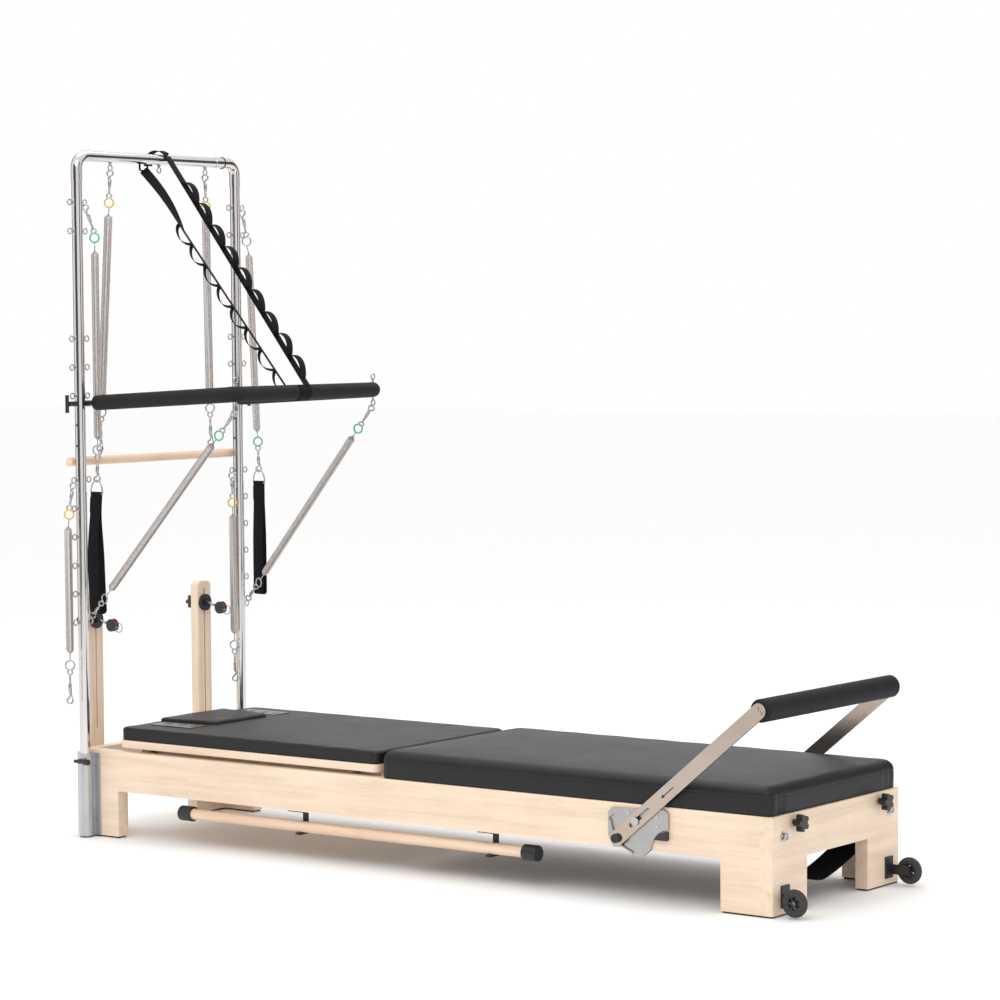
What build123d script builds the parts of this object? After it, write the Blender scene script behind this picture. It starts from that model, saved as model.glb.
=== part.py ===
from build123d import *
import math
import os

# Pilates reformer with a half tower, a push-through bar and a mat conversion.
# Units mm, +Z up, floor at z = 0. X runs from the tower (head) end to the footbar
# (foot) end, -Y is the near long side. While a sub-part is built, x = 0 is the front
# edge of the corner posts; save() moves everything so that the origin is the middle
# of the footprint on the floor.
CENTRE_X = 1216.5
CENTRE_Y = 19.0

# wooden frame
FRAME_END = 2500.0       # outer face of the foot board
HEAD_FACE = -95.0        # outer face of the head board
HALF_W = 345.0
RAIL_TOP = 276.0
RAIL_BOTTOM = 150.0
BOARD = 40.0             # board thickness
FOOT_LEG_X = 2333.0      # inner edge of the foot legs
HEAD_LEG_X = 74.0
FOOT_PAD = 5.0
LEG_GAP = 165.0          # half width of the opening between the two legs of an end

# tower
TUBE_X = -37.75
TUBE_Y = 374.2
TUBE_R = 16.85
TUBE_BORE = 14.5
TOP_Z = 2154.5
ELBOW = 40.0
ELBOW_LOW = 2078.0
ELBOW_IN = 270.0
EYE_LEVELS = [2008, 1918, 1580, 1490, 1400, 1135]      # on both sides of a tube
OUTER_EYE_LEVELS = [1045, 955, 865, 775, 685]          # on the outer side only
EYE_OUT = 34.0           # ring centre to tube axis
EYE_R = 8.75
EYE_WIRE = 2.25
D_RING = 24.0
HANDLE_W = 42.0
HANDLE_LOW = 712.0
HOOK_R = 8.0
HOOK_WIRE = 2.0
TOP_EYES = [-222.0, 5.0, 227.0]

# push-through bar
PTB_Z = 1375.5
PTB_Y = 340.0
PTB_X = 585.0
PTB_RISE = 32.5
PTB_FOAM = 24.0
PTB_BEND = 26.0
PTB_EYE = (579.0, 332.0, 1366.0)

# carriage and mat
CARRIAGE = (62.0, 1113.0)
PAD_TOP = 354.0
MAT = (1137.0, 2495.0)
MAT_TOP = 366.0
HEADREST_LOW = 328.0
HEADREST_TOP = 367.0
ROLLER_R = 15.0
AXLE_R = 4.0

# footbar
BOLT_X, BOLT_Z = 2063.0, 231.0
ARM_ANGLE = 39.6
ARM_LOW, ARM_HIGH = -83.6, 525.0
ARM_R = 22.0
ARM_IN, ARM_OUT = 355.0, 361.0
PLATE_FACE = 353.0
GRIP_R = 32.5

# risers, pole, dowel, wheels
RISER_X = (-126.0, -95.0)
RISER_Y = 259.0
RISER_HALF = 31.5
PULLEY_Z = {-1: 680.0, 1: 697.0}
DOWEL_EYES = {-1: -255.0, 1: 273.0}
DOWEL_EYE_Z = 1218.0
POLE = (320.0, 1700.0)
POLE_Y, POLE_Z, POLE_R = -318.0, 100.0, 16.8
DOWEL_X, DOWEL_Z, DOWEL_R = -69.0, 1192.0, 14.0
WHEEL_X, WHEEL_Z, WHEEL_R = 2552.0, 43.0, 39.0
RUN = 0.05               # radial running clearance

NEAR, FAR = -1, 1


def save(part, name):
    moved = Pos(-CENTRE_X, -CENTRE_Y, 0) * part
    export_step(moved, f"parts/{name}.step")


def box(x0, x1, y0, y1, z0, z1):
    size = Box(abs(x1 - x0), abs(y1 - y0), abs(z1 - z0))
    return Pos((x0 + x1) / 2, (y0 + y1) / 2, (z0 + z1) / 2) * size


def rod(a, b, r):
    """Round bar between two points."""
    a, b = Vector(*a), Vector(*b)
    return Part() + Solid.make_cylinder(r, (b - a).length, Plane(origin=a, z_dir=b - a))


def ring(centre, axis, r, wire):
    """Closed ring of round wire about an axis."""
    return Plane(origin=Vector(*centre), z_dir=Vector(*axis)) * Torus(r, wire)


def join(pieces):
    whole = pieces[0]
    for piece in pieces[1:]:
        whole = whole + piece
    return whole


def group(pieces):
    """Several separate solids kept in one sub-part."""
    solids = []
    for piece in pieces:
        solids += list(piece.solids())
    return Compound(children=solids)


def far_side(part):
    return mirror(part, about=Plane.XZ)


def vertical(part):
    return part.edges().filter_by(Axis.Z)


# ---------------------------------------------------------------- wooden frame
def side_rail():
    """Near side rail with its two legs, one board thick."""
    y0, y1 = -HALF_W, -HALF_W + BOARD
    end = FRAME_END - BOARD
    rail = box(HEAD_FACE + BOARD, end, y0, y1, RAIL_BOTTOM, RAIL_TOP)
    head = box(HEAD_FACE + BOARD, HEAD_LEG_X, y0, y1, FOOT_PAD, RAIL_BOTTOM)
    foot = box(FOOT_LEG_X, end, y0, y1, FOOT_PAD, RAIL_BOTTOM)
    whole = rail + head + foot
    bolt = rod((BOLT_X, -332, BOLT_Z), (BOLT_X, -346, BOLT_Z), 6 + RUN)
    top = whole.edges().filter_by(Axis.X).group_by(Axis.Z)[-1]
    return fillet(top, 3) - bolt


def end_board(x0, x1, gap, out):
    """Cross board with two legs; the outer corners and the top are rounded."""
    board = box(x0, x1, -HALF_W, HALF_W, FOOT_PAD, RAIL_TOP)
    board -= box(x0 - 1, x1 + 1, -gap, gap, FOOT_PAD - 1, RAIL_BOTTOM)
    corners = vertical(board).group_by(Axis.X)[out]
    outer = [e for e in corners if abs(e.center().Y) > HALF_W - 1]
    board = fillet(outer, 7)
    top = board.edges().filter_by(Axis.Y).group_by(Axis.Z)[-1]
    return fillet(top, 3)


def foot_pads():
    """Thin rubber pads under the four legs and the two corner posts."""
    pads = []
    for side in (NEAR, FAR):
        y0, y1 = side * (HALF_W - 4), side * (HALF_W - BOARD + 4)
        foot = box(FOOT_LEG_X + 4, FRAME_END - 4, y0, y1, 0, FOOT_PAD)
        foot += box(FRAME_END - BOARD + 4, FRAME_END - 4, y0, side * (LEG_GAP + 4), 0, FOOT_PAD)
        head = box(HEAD_FACE + 4, HEAD_LEG_X - 4, y0, y1, 0, FOOT_PAD)
        head += box(HEAD_FACE + 4, HEAD_FACE + BOARD - 4, y0, side * (LEG_GAP + 4), 0, FOOT_PAD)
        post = rod((TUBE_X, side * TUBE_Y, 0), (TUBE_X, side * TUBE_Y, 4), 20)
        pads += [foot, head, post]
    return group(pads)


def corner_post():
    """Aluminium corner: a round socket for the tube and a flange on the wood."""
    flange = Pos((HEAD_FACE - 1) / 2, -HALF_W - 3) * Rectangle(-HEAD_FACE + 1, 6)
    web = Pos(TUBE_X, -HALF_W - 10) * Rectangle(30, 12)
    profile = flange + web + Pos(TUBE_X, -TUBE_Y) * Circle(22.5)
    post = extrude(Pos(0, 0, 4) * profile, 262)
    return post - rod((TUBE_X, -TUBE_Y, 34), (TUBE_X, -TUBE_Y, 270), TUBE_R)


def frame_fittings():
    """Button heads on the corner posts and footbar plates, and the foot-end rope eyes."""
    heads = []
    for side in (NEAR, FAR):
        face = side * (HALF_W + 6)
        for x, z in ((-12, 59), (-12, 224), (-84, 72), (-84, 196), (-84, 241)):
            heads.append(rod((x, face, z), (x, face + side * 2.5, z), 4.5))
        face = side * PLATE_FACE
        for dx, dz in ((-28, 20), (67, 16), (67, -11)):
            x, z = BOLT_X + dx, BOLT_Z + dz
            heads.append(rod((x, face, z), (x, face + side * 1.6, z), 4.5))
        y = side * 288
        base = rod((FRAME_END, y, 218), (FRAME_END + 3, y, 218), 14)
        neck = rod((FRAME_END + 3, y, 226), (FRAME_END + 9, y, 226), 2.5)
        heads.append(base + neck + ring((FRAME_END + 10, y, 218), (1, 0, 0), 8, 2.5))
    return group(heads)


def post_clamps():
    """Black clamping lever that closes each corner post on its tube."""
    pieces = []
    for side in (NEAR, FAR):
        y = side * (TUBE_Y + 30)
        stem = rod((-56, y, 243), (-14, y, 243), 5.5)
        head = rod((-14, y, 243), (4, y, 243), 9.5)
        ear = box(-44, -30, side * (TUBE_Y + 22.5), y, 236, 250)
        clamp = stem + head + ear
        clamp -= rod((TUBE_X, side * TUBE_Y, 230), (TUBE_X, side * TUBE_Y, 255), 22.5)
        pieces.append(clamp)
    return group(pieces)


def tracks():
    """Running tracks for the carriage rollers, on the inner side of the rails."""
    pieces = []
    for side in (NEAR, FAR):
        inner = side * (HALF_W - BOARD)
        shelf = box(HEAD_FACE + 45, 2455, inner, inner - side * 24, 244, 250)
        lip = box(HEAD_FACE + 45, 2455, inner, inner - side * 3, 250, 262)
        pieces.append(shelf + lip)
    return group(pieces)


# ---------------------------------------------------------------- tower
def upright(side):
    tube = rod((TUBE_X, side * TUBE_Y, 34), (TUBE_X, side * TUBE_Y, ELBOW_LOW), TUBE_R)
    tube -= rod((TUBE_X, side * TUBE_Y, 30), (TUBE_X, side * TUBE_Y, 2100), TUBE_BORE)
    for z in (PTB_Z, 1308, 1242):
        tube -= rod((TUBE_X, side * 350, z), (TUBE_X, side * 400, z), 4 + RUN)
    return tube


def top_bar():
    """Straight tube across the top, between the two elbows."""
    a, b = (TUBE_X, -ELBOW_IN, TOP_Z), (TUBE_X, ELBOW_IN, TOP_Z)
    return rod(a, b, TUBE_R) - rod(a, b, TUBE_BORE)


def elbow():
    """Corner fitting, a little fatter than the tubes that it joins."""
    with BuildPart() as bend:
        with BuildLine() as path:
            pts = [(TUBE_X, -TUBE_Y, ELBOW_LOW), (TUBE_X, -TUBE_Y, TOP_Z)]
            pts += [(TUBE_X, -ELBOW_IN, TOP_Z)]
            FilletPolyline(*pts, radius=ELBOW)
        with BuildSketch(Plane(origin=pts[0], z_dir=(0, 0, 1))):
            Circle(TUBE_R + 1.2)
            Circle(TUBE_BORE, mode=Mode.SUBTRACT)
        sweep(path=path.line)
    return bend.part


def eye(x, y, z, dy, dz):
    """Ring bolt whose shank leaves a tube axis at (x, y, z) along (dy, dz)."""
    centre = (x, y + dy * EYE_OUT, z + dz * EYE_OUT)
    start = (x, y + dy * 10, z + dz * 10)
    end = (x, y + dy * (EYE_OUT - EYE_R), z + dz * (EYE_OUT - EYE_R))
    nut = (x, y + dy * 22, z + dz * 22)
    return ring(centre, (1, 0, 0), EYE_R, EYE_WIRE) + rod(start, end, 3) + rod(start, nut, 5.5)


def eyebolts():
    """All the ring bolts of the uprights and of the top bar."""
    bolts = []
    for side in (NEAR, FAR):
        keep_out = rod((TUBE_X, side * TUBE_Y, 600), (TUBE_X, side * TUBE_Y, 2078), TUBE_R)
        places = [(z, out) for z in EYE_LEVELS for out in (-1, 1)]
        places += [(z, side) for z in OUTER_EYE_LEVELS]
        if side == NEAR:
            places.append((OUTER_EYE_LEVELS[-1], FAR))
        for z, out in places:
            bolts.append(eye(TUBE_X, side * TUBE_Y, z, out, 0) - keep_out)
    keep_out = rod((TUBE_X, -ELBOW_IN, TOP_Z), (TUBE_X, ELBOW_IN, TOP_Z), TUBE_R)
    bolts += [eye(TUBE_X, y, TOP_Z, 0, -1) - keep_out for y in TOP_EYES]
    return group(bolts)


# ---------------------------------------------------------------- risers and pulleys
def riser_posts():
    posts = []
    for side in (NEAR, FAR):
        y = side * RISER_Y
        post = box(*RISER_X, y - RISER_HALF, y + RISER_HALF, 100, 768)
        top = post.edges().filter_by(Axis.X).group_by(Axis.Z)[-1]
        post = fillet(top, 18)
        post -= box(RISER_X[0] - 1, RISER_X[1] + 1, y - 3, y + 3, 331, 745)
        posts.append(post)
    return group(posts)


def star(centre, axis, r, depth):
    """Five-lobed clamping knob."""
    plane = Plane(origin=Vector(*centre), z_dir=Vector(*axis))
    face = Circle(r * 0.66)
    for k in range(5):
        a = math.radians(90 + 72 * k)
        face += Pos(r * 0.68 * math.cos(a), r * 0.68 * math.sin(a)) * Circle(r * 0.32)
    grip = extrude(face, depth)
    neck = Pos(0, 0, -6) * extrude(Circle(r * 0.4), 6)
    return plane * (grip + neck)


def star_knobs():
    """Clamping knobs of the risers and of the foot board."""
    knobs = []
    for side in (NEAR, FAR):
        y = side * 232
        neck = rod((FRAME_END, y, 250), (FRAME_END + 12, y, 250), 9)
        knobs.append(star((FRAME_END + 14, y, 250), (1, 0, 0), 25, 20) + neck)
        back, y, z = RISER_X[0], side * RISER_Y, PULLEY_Z[side]
        neck = rod((back, y, z), (back - 12, y, z), 9)
        knobs.append(star((back - 14, y, z), (-1, 0, 0), 22, 18) + neck)
    return group(knobs)


def riser_flanges():
    """Black round plates in front of the risers, with the fixed eye of each pulley."""
    pieces = []
    for side in (NEAR, FAR):
        y, z = side * RISER_Y, PULLEY_Z[side]
        disc = rod((RISER_X[1], y, z), (RISER_X[1] + 8, y, z), 27.5)
        pieces.append(disc + rod((RISER_X[1] + 8, y, z), (RISER_X[1] + 14, y, z), 11))
    return group(pieces)


def pulley_line(side, along):
    """Point on the drooping pulley axis, measured from the face of its flange."""
    droop = math.radians(14)
    x = RISER_X[1] + 15 + along * math.cos(droop)
    return (x, side * RISER_Y, PULLEY_Z[side] - along * math.sin(droop))


def pulley_block(side):
    """Swivel stem, fork, two cheeks and the end hoop of a pulley."""
    stem = rod(pulley_line(side, 0.5), pulley_line(side, 32), 4)
    hub = pulley_line(side, 60)
    cheeks = []
    for out in (-1, 1):
        inner = (hub[0], hub[1] + out * 6, hub[2])
        outer = (hub[0], hub[1] + out * 8.5, hub[2])
        cheeks.append(rod(inner, outer, 20))
        tip = pulley_line(side, 31)
        cheeks.append(rod((tip[0], tip[1] + out * 7.2, tip[2]), (hub[0], hub[1] + out * 7.2, hub[2]), 1.2))
    cross = pulley_line(side, 31)
    yoke = rod((cross[0], cross[1] - 8.5, cross[2]), (cross[0], cross[1] + 8.5, cross[2]), 4.5)
    end = pulley_line(side, 88)
    clear = rod((hub[0], hub[1] - 6, hub[2]), (hub[0], hub[1] + 6, hub[2]), 18.5)
    hoop = ring(end, (0, 1, 0), 15, 1.6) - clear
    pin = rod((hub[0], hub[1] - 8.5, hub[2]), (hub[0], hub[1] + 8.5, hub[2]), 3)
    low = pulley_line(side, 79)
    tie = rod((low[0], low[1] - 8.5, low[2]), (low[0], low[1] + 8.5, low[2]), 2.4)
    return join([stem, yoke] + cheeks + [pin, tie, hoop])


def pulley_sheave(side):
    hub = pulley_line(side, 60)
    a, b = (hub[0], hub[1] - 5.6, hub[2]), (hub[0], hub[1] + 5.6, hub[2])
    wheel = rod(a, b, 16) - ring(hub, (0, 1, 0), 17, 4)
    return wheel - rod((hub[0], hub[1] - 7, hub[2]), (hub[0], hub[1] + 7, hub[2]), 3 + RUN)


# ---------------------------------------------------------------- carriage
def carriage_board():
    x0, x1 = CARRIAGE
    board = box(x0, x1, -325, 325, 288, 311)
    board = fillet(vertical(board), 22)
    for side in (NEAR, FAR):
        runner = box(x0 + 50, x1 - 50, side * 246, side * 274, 252, 288)
        for x in (x0 + 110, x1 - 110):
            runner -= rod((x, side * 240, 265.2), (x, side * 280, 265.2), AXLE_R + RUN)
        board += runner
    return board


def rollers(x):
    """Two rollers on one axle."""
    z = 265.2
    axle = rod((x, -300, z), (x, 300, z), AXLE_R)
    near = rod((x, -298, z), (x, -284, z), ROLLER_R)
    far = rod((x, 284, z), (x, 298, z), ROLLER_R)
    return axle + near + far


def headrest_outline(gap):
    """Rounded trapezoid of the headrest, grown by a gap all round."""
    outline = Polyline((75 - gap, -160 - gap), (295 + gap, -118 - gap),
                       (295 + gap, 118 + gap), (75 - gap, 160 + gap), close=True)
    return make_face(outline)


def carriage_pad():
    """Upholstered pad, notched at the head end for the headrest."""
    x0, x1 = CARRIAGE
    pad = box(x0 - 2, x1 - 3, -322, 322, 311, PAD_TOP)
    pad = fillet(vertical(pad), 25)
    pad = fillet(pad.faces().sort_by(Axis.Z)[-1].edges(), 9)
    notch = extrude(Pos(0, 0, HEADREST_LOW - 1) * headrest_outline(2.5), 60)
    return pad - notch


def shoulder_sockets():
    """Slotted plates on the pad that take the shoulder rests."""
    plates = []
    for side in (NEAR, FAR):
        plate = box(112, 290, side * 162, side * 240, PAD_TOP, PAD_TOP + 1.2)
        for x in (160, 215, 262):
            plate -= box(x, x + 8, side * 178, side * 214, PAD_TOP - 1, PAD_TOP + 2)
        plates.append(plate)
    return group(plates)


def headrest():
    rest = extrude(Pos(0, 0, HEADREST_LOW) * headrest_outline(0), HEADREST_TOP - HEADREST_LOW)
    rest = fillet(vertical(rest), 20)
    return fillet(rest.faces().sort_by(Axis.Z)[-1].edges(), 6)


def mat_pad():
    pad = box(MAT[0], MAT[1], -343, 343, RAIL_TOP + 0.4, MAT_TOP)
    pad = fillet(vertical(pad), 24)
    return fillet(pad.faces().sort_by(Axis.Z)[-1].edges(), 22)


# ---------------------------------------------------------------- footbar
def arm_point(u, v=0.0):
    """Point on the arm: u along it from the pivot bolt, v across it."""
    a = math.radians(ARM_ANGLE)
    return (BOLT_X + u * math.cos(a) - v * math.sin(a), BOLT_Z + u * math.sin(a) + v * math.cos(a))


def flat(profile, y0, y1):
    """Profile drawn in X and Z, given thickness from y0 to y1."""
    plane = Plane(origin=(0, y0, 0), x_dir=(1, 0, 0), z_dir=(0, -1, 0))
    return extrude(plane * profile, y0 - y1)


def footbar_plate():
    """Side plate with the curved pin channel and its three seats."""
    rel = [(-98, -48), (-98, 18), (-84, 32), (88, 38), (104, 30), (104, -18), (88, -20)]
    rel += [(70, -30), (54, -48), (43, -80), (20, -98), (-8, -99), (-48, -79), (-80, -79)]
    pts = [(BOLT_X + x, BOLT_Z + z) for x, z in rel]
    plate = flat(make_face(Polyline(*pts, close=True)), -HALF_W, -PLATE_FACE)
    plate = fillet(plate.edges().filter_by(Axis.Y).group_by(Axis.X)[0], 7)
    at = Pos(BOLT_X, BOLT_Z)
    band = at * (Circle(89) - Circle(60))
    wedge = [(BOLT_X, BOLT_Z)]
    for deg in range(177, 267, 8):
        a = math.radians(deg)
        wedge.append((BOLT_X + 140 * math.cos(a), BOLT_Z + 140 * math.sin(a)))
    channel = band & make_face(Polyline(*wedge, close=True))
    for tilt in (0.0, ARM_ANGLE, 81.4):
        a = math.radians(180 + tilt)
        channel += at * Pos(88.6 * math.cos(a), 88.6 * math.sin(a)) * Circle(5.7)
        channel += at * Pos(74.5 * math.cos(a), 74.5 * math.sin(a)) * Circle(14.5)
    plate -= flat(channel, -PLATE_FACE + 5.5, -PLATE_FACE - 1)
    return plate - rod((BOLT_X, -340, BOLT_Z), (BOLT_X, -360, BOLT_Z), 6 + RUN)


def footbar_bumper():
    rel = [(59, -47), (102, -47), (102, -23), (90, -24), (74, -32)]
    pts = [(BOLT_X + x, BOLT_Z + z) for x, z in rel]
    return flat(make_face(Polyline(*pts, close=True)), -HALF_W, -ARM_OUT)


def footbar_bolts():
    bolts = []
    for side in (NEAR, FAR):
        a = (BOLT_X, side * 333, BOLT_Z)
        b = (BOLT_X, side * (ARM_OUT + 0.4), BOLT_Z)
        c = (BOLT_X, side * (ARM_OUT + 5), BOLT_Z)
        bolts.append(rod(a, b, 6) + rod(b, c, 12))
    return group(bolts)


def footbar_arms():
    """Two flat arms, each with its slot, seat pin, release knob and end screws."""
    arms = []
    low, high = arm_point(ARM_LOW), arm_point(ARM_HIGH)
    mid = arm_point((ARM_LOW + ARM_HIGH) / 2)
    length = ARM_HIGH - ARM_LOW + 2 * ARM_R
    blade = Pos(*mid) * Rot(0, 0, ARM_ANGLE) * SlotOverall(length, 2 * ARM_R)
    slot_mid = arm_point(17.5)
    blade -= Pos(*slot_mid) * Rot(0, 0, ARM_ANGLE) * SlotOverall(75 + 12.6, 12.6)
    for side in (NEAR, FAR):
        arm = flat(blade, side * ARM_IN, side * ARM_OUT)
        arm += rod((low[0], side * 348, low[1]), (low[0], side * ARM_OUT, low[1]), 5)
        arm += rod((low[0], side * ARM_OUT, low[1]), (low[0], side * (ARM_OUT + 10), low[1]), 13)
        for v in (-8, 8):
            p = arm_point(ARM_HIGH, v)
            arm += rod((p[0], side * ARM_OUT, p[1]), (p[0], side * (ARM_OUT + 3), p[1]), 6)
        arms.append(arm)
    return group(arms)


def footbar_grip():
    x, z = arm_point(ARM_HIGH)
    grip = rod((x, -ARM_IN, z), (x, ARM_IN, z), GRIP_R)
    ends = grip.edges().filter_by(GeomType.CIRCLE)
    return fillet(ends, 4)


# ---------------------------------------------------------------- push-through bar
def ptb_grip():
    """Foam-covered U of the push-through bar."""
    z1 = PTB_Z + PTB_RISE
    start_z = PTB_Z + PTB_RISE * (0 - TUBE_X) / (PTB_X - TUBE_X)
    direction = Vector(PTB_X, 0, z1 - start_z)
    with BuildPart() as grip:
        with BuildLine() as path:
            pts = [(0, -PTB_Y, start_z), (PTB_X, -PTB_Y, z1)]
            pts += [(PTB_X, PTB_Y, z1), (0, PTB_Y, start_z)]
            FilletPolyline(*pts, radius=PTB_BEND)
        with BuildSketch(Plane(origin=(0, -PTB_Y, start_z), z_dir=direction)):
            Circle(PTB_FOAM)
        sweep(path=path.line)
    return grip.part


def ptb_mounts():
    """Steel ends of the push-through bar: stubs, lugs and pivot bolts, with its ring bolts."""
    pieces = []
    start_z = PTB_Z + PTB_RISE * (0 - TUBE_X) / (PTB_X - TUBE_X)
    for side in (NEAR, FAR):
        lug = rod((TUBE_X, side * 330, PTB_Z), (TUBE_X, side * 356.6, PTB_Z), 9.5)
        stub = rod((TUBE_X, side * PTB_Y, PTB_Z), (0, side * PTB_Y, start_z), 8)
        bolt = rod((TUBE_X, side * 350, PTB_Z), (TUBE_X, side * 391.8, PTB_Z), 4)
        pieces.append(lug + stub + bolt)
    return group(pieces + [ptb_eyes()])


def ptb_knobs():
    """Black T-handles that lock the pivot bolts of the push-through bar."""
    pieces = []
    for side in (NEAR, FAR):
        hub = rod((TUBE_X, side * 391.8, PTB_Z), (TUBE_X, side * 428, PTB_Z), 8)
        bar = rod((TUBE_X, side * 432, PTB_Z - 28), (TUBE_X, side * 432, PTB_Z + 28), 6)
        pieces.append(hub + bar)
    return group(pieces)


def ptb_eyes():
    """Ring bolts above and below the two corners of the push-through bar."""
    bolts = []
    x, y, z = PTB_EYE
    mid = PTB_Z + PTB_RISE
    foam = ptb_grip()
    for side in (NEAR, FAR):
        for up in (-1, 1):
            centre = (x, side * y, mid + up * (mid - z))
            shank = rod((x, centre[1], mid), (x, centre[1], centre[2] - up * EYE_R), 3) - foam
            bolts.append(ring(centre, (1, 0, 0), EYE_R, EYE_WIRE) + shank)
    return group(bolts)


def ladder_strap():
    """Looped webbing between the top bar and the push-through bar."""
    top = Vector(TUBE_X, 0, TOP_Z)
    low = Vector(PTB_X, -35, PTB_Z + PTB_RISE)
    along = (Vector(low.X, 0, low.Z) - top).normalized()
    normal = Vector(-along.Z, 0, along.X)
    if normal.Z < 0:
        normal = normal * -1
    upper = strap_run(top + normal * 18.4 + Vector(0, 30, 0), low + normal * 25.6 + Vector(0, 6, 0))
    lower = strap_run(top - normal * 18.4 + Vector(0, -50, 0), low - normal * 25.6 + Vector(0, -6, 0))
    return group([upper, lower])


def strap_run(a, b):
    """One flat run of webbing, 30 wide and 2.2 thick, its width along Y."""
    plane = Plane(origin=a, x_dir=Vector(0, 1, 0), z_dir=b - a)
    return plane * Pos(0, 0, (b - a).length / 2) * Box(30, 2.2, (b - a).length)


# ---------------------------------------------------------------- springs
def snap(a, b):
    """Snap hook from a to b: a slim rod with a thicker swivel barrel."""
    a, b = Vector(*a), Vector(*b)
    p, q = a + (b - a) * 0.5, a + (b - a) * 0.72
    return rod(tuple(a), tuple(b), 2.2) + rod(tuple(p), tuple(q), 4.2)


def chain(eye_at, ring_a, coil_a, coil_b, ring_b, tip, coil_r, ring_a_r=13.5, ring_b_r=13.5):
    """Hanging spring: hook, ring, close-wound coil, ring, hook."""
    x, y, z = eye_at
    loop_c = (x, y, z - HOOK_R + 4.9)
    pieces = [ring(loop_c, (0, 1, 0), HOOK_R, HOOK_WIRE)]
    low = (x, y, loop_c[2] - HOOK_R)
    top = Vector(*ring_a) + Vector(0, 0, ring_a_r)
    pieces.append(snap(low, tuple(top)))
    pieces.append(ring(ring_a, (1, 0, 0), ring_a_r, 2.2))
    pieces.append(rod((ring_a[0], ring_a[1], ring_a[2] - ring_a_r), coil_a, 1.8))
    pieces.append(rod(coil_a, coil_b, coil_r))
    pieces.append(rod(coil_b, (ring_b[0], ring_b[1], ring_b[2] + ring_b_r), 1.8))
    pieces.append(ring(ring_b, (1, 0, 0), ring_b_r, 2.2))
    pieces.append(snap((ring_b[0], ring_b[1], ring_b[2] - ring_b_r), tip))
    return join(pieces)


def top_spring_point(side, z):
    """Point on the line from the top bar down to the roll-down bar."""
    start, end = TOP_EYES[0 if side == NEAR else 2], DOWEL_EYES[side]
    share = (TOP_Z - EYE_OUT - EYE_R - z) / (TOP_Z - EYE_OUT - EYE_R - DOWEL_EYE_Z - 19)
    return (TUBE_X + (DOWEL_X - TUBE_X) * share, start + (end - start) * share, z)


def top_spring(side):
    """Spring from the top bar down to its eye screw on the roll-down bar."""
    stops = [TOP_Z - EYE_OUT - EYE_R, 2010, 1972, 1388, 1344, DOWEL_EYE_Z + 19]
    body = chain(*[top_spring_point(side, z) for z in stops], 12)
    return body + ring((DOWEL_X, DOWEL_EYES[side], DOWEL_EYE_Z + 11), (0, 1, 0), 8, 2)


def arm_spring(side):
    y0 = side * TUBE_Y - EYE_OUT * side if side == NEAR else TUBE_Y + EYE_OUT
    lean = [-298, -297, -297, -298, -303] if side == NEAR else [430, 441, 471, 475, 478]
    zs = [1898, 1854, 1260, 1226, 1142]
    p = [(TUBE_X, y, z) for y, z in zip(lean, zs)]
    pivot = (TUBE_X, y0, EYE_LEVELS[0] - EYE_R)
    body = chain(pivot, p[0], p[1], p[2], p[3], p[4], 12.5)
    hook = (TUBE_X, p[4][1], p[4][2] - 8)
    return body + ring(hook, (1, 0, 0), 8, 2)


def arm_handle(side):
    """D-ring and webbing loop that hang from the lower hook of an arm spring."""
    y = -303 if side == NEAR else 478
    bar_z = 1130.6 - D_RING
    bow = Rot(90, 0, 0) * Torus(D_RING, 2)
    bow = bow & Pos(0, 0, 15) * Box(80, 20, 30)
    bar = Rot(0, 90, 0) * Cylinder(2, 2 * D_RING + 4)
    height = bar_z + 6 - HANDLE_LOW
    loop = Pos(0, 0, 6 - height / 2) * extrude(Plane.YZ * strap_loop(height), HANDLE_W / 2, both=True)
    return Pos(TUBE_X, y, bar_z) * group([bow + bar, loop])


def strap_loop(height):
    """Long thin webbing loop seen from the side, closed over the D-ring bar."""
    outer = SlotOverall(height, 17, rotation=90)
    inner = SlotOverall(height - 5, 12, rotation=90)
    return outer - inner


def leg_spring(side):
    if side == NEAR:
        pivot = (TUBE_X, -TUBE_Y - EYE_OUT, EYE_LEVELS[5] - EYE_R)
        xs, ys = [TUBE_X] * 5, [-431, -436, -436, -437, -440]
    else:
        pivot = (TUBE_X, TUBE_Y - EYE_OUT, EYE_LEVELS[5] - EYE_R)
        xs, ys = [-24, -22, -22, -22, -22], [327, 325, 325, 326, 328]
    zs = [1028, 988, 591, 552, 448]
    p = list(zip(xs, ys, zs))
    body = chain(pivot, p[0], p[1], p[2], p[3], p[4], 11.5)
    return body + ring((p[4][0], p[4][1], p[4][2] - 7.5), (0, 1, 0), 8, 2)


def ptb_spring_line(side, along):
    """Point on the line of a lower push-through spring, measured from the tower eye."""
    y0 = -TUBE_Y + EYE_OUT if side == NEAR else TUBE_Y + EYE_OUT
    a = Vector(TUBE_X, y0, OUTER_EYE_LEVELS[-1] + EYE_R)
    b = Vector(PTB_EYE[0], side * PTB_EYE[1], PTB_EYE[2] - EYE_R)
    return tuple(a + (b - a).normalized() * along), (b - a).length


def ptb_spring_low(side):
    """Hook and ring at the tower end of a lower spring."""
    at = [ptb_spring_line(side, s)[0] for s in (3.1, 11, 76, 88, 101, 128)]
    loop = ring(at[0], (0, 1, 0), HOOK_R, HOOK_WIRE)
    return loop + snap(at[1], at[2]) + ring(at[3], (0, 1, 0), 13.5, 2.2) + rod(at[4], at[5], 1.8)


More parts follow.
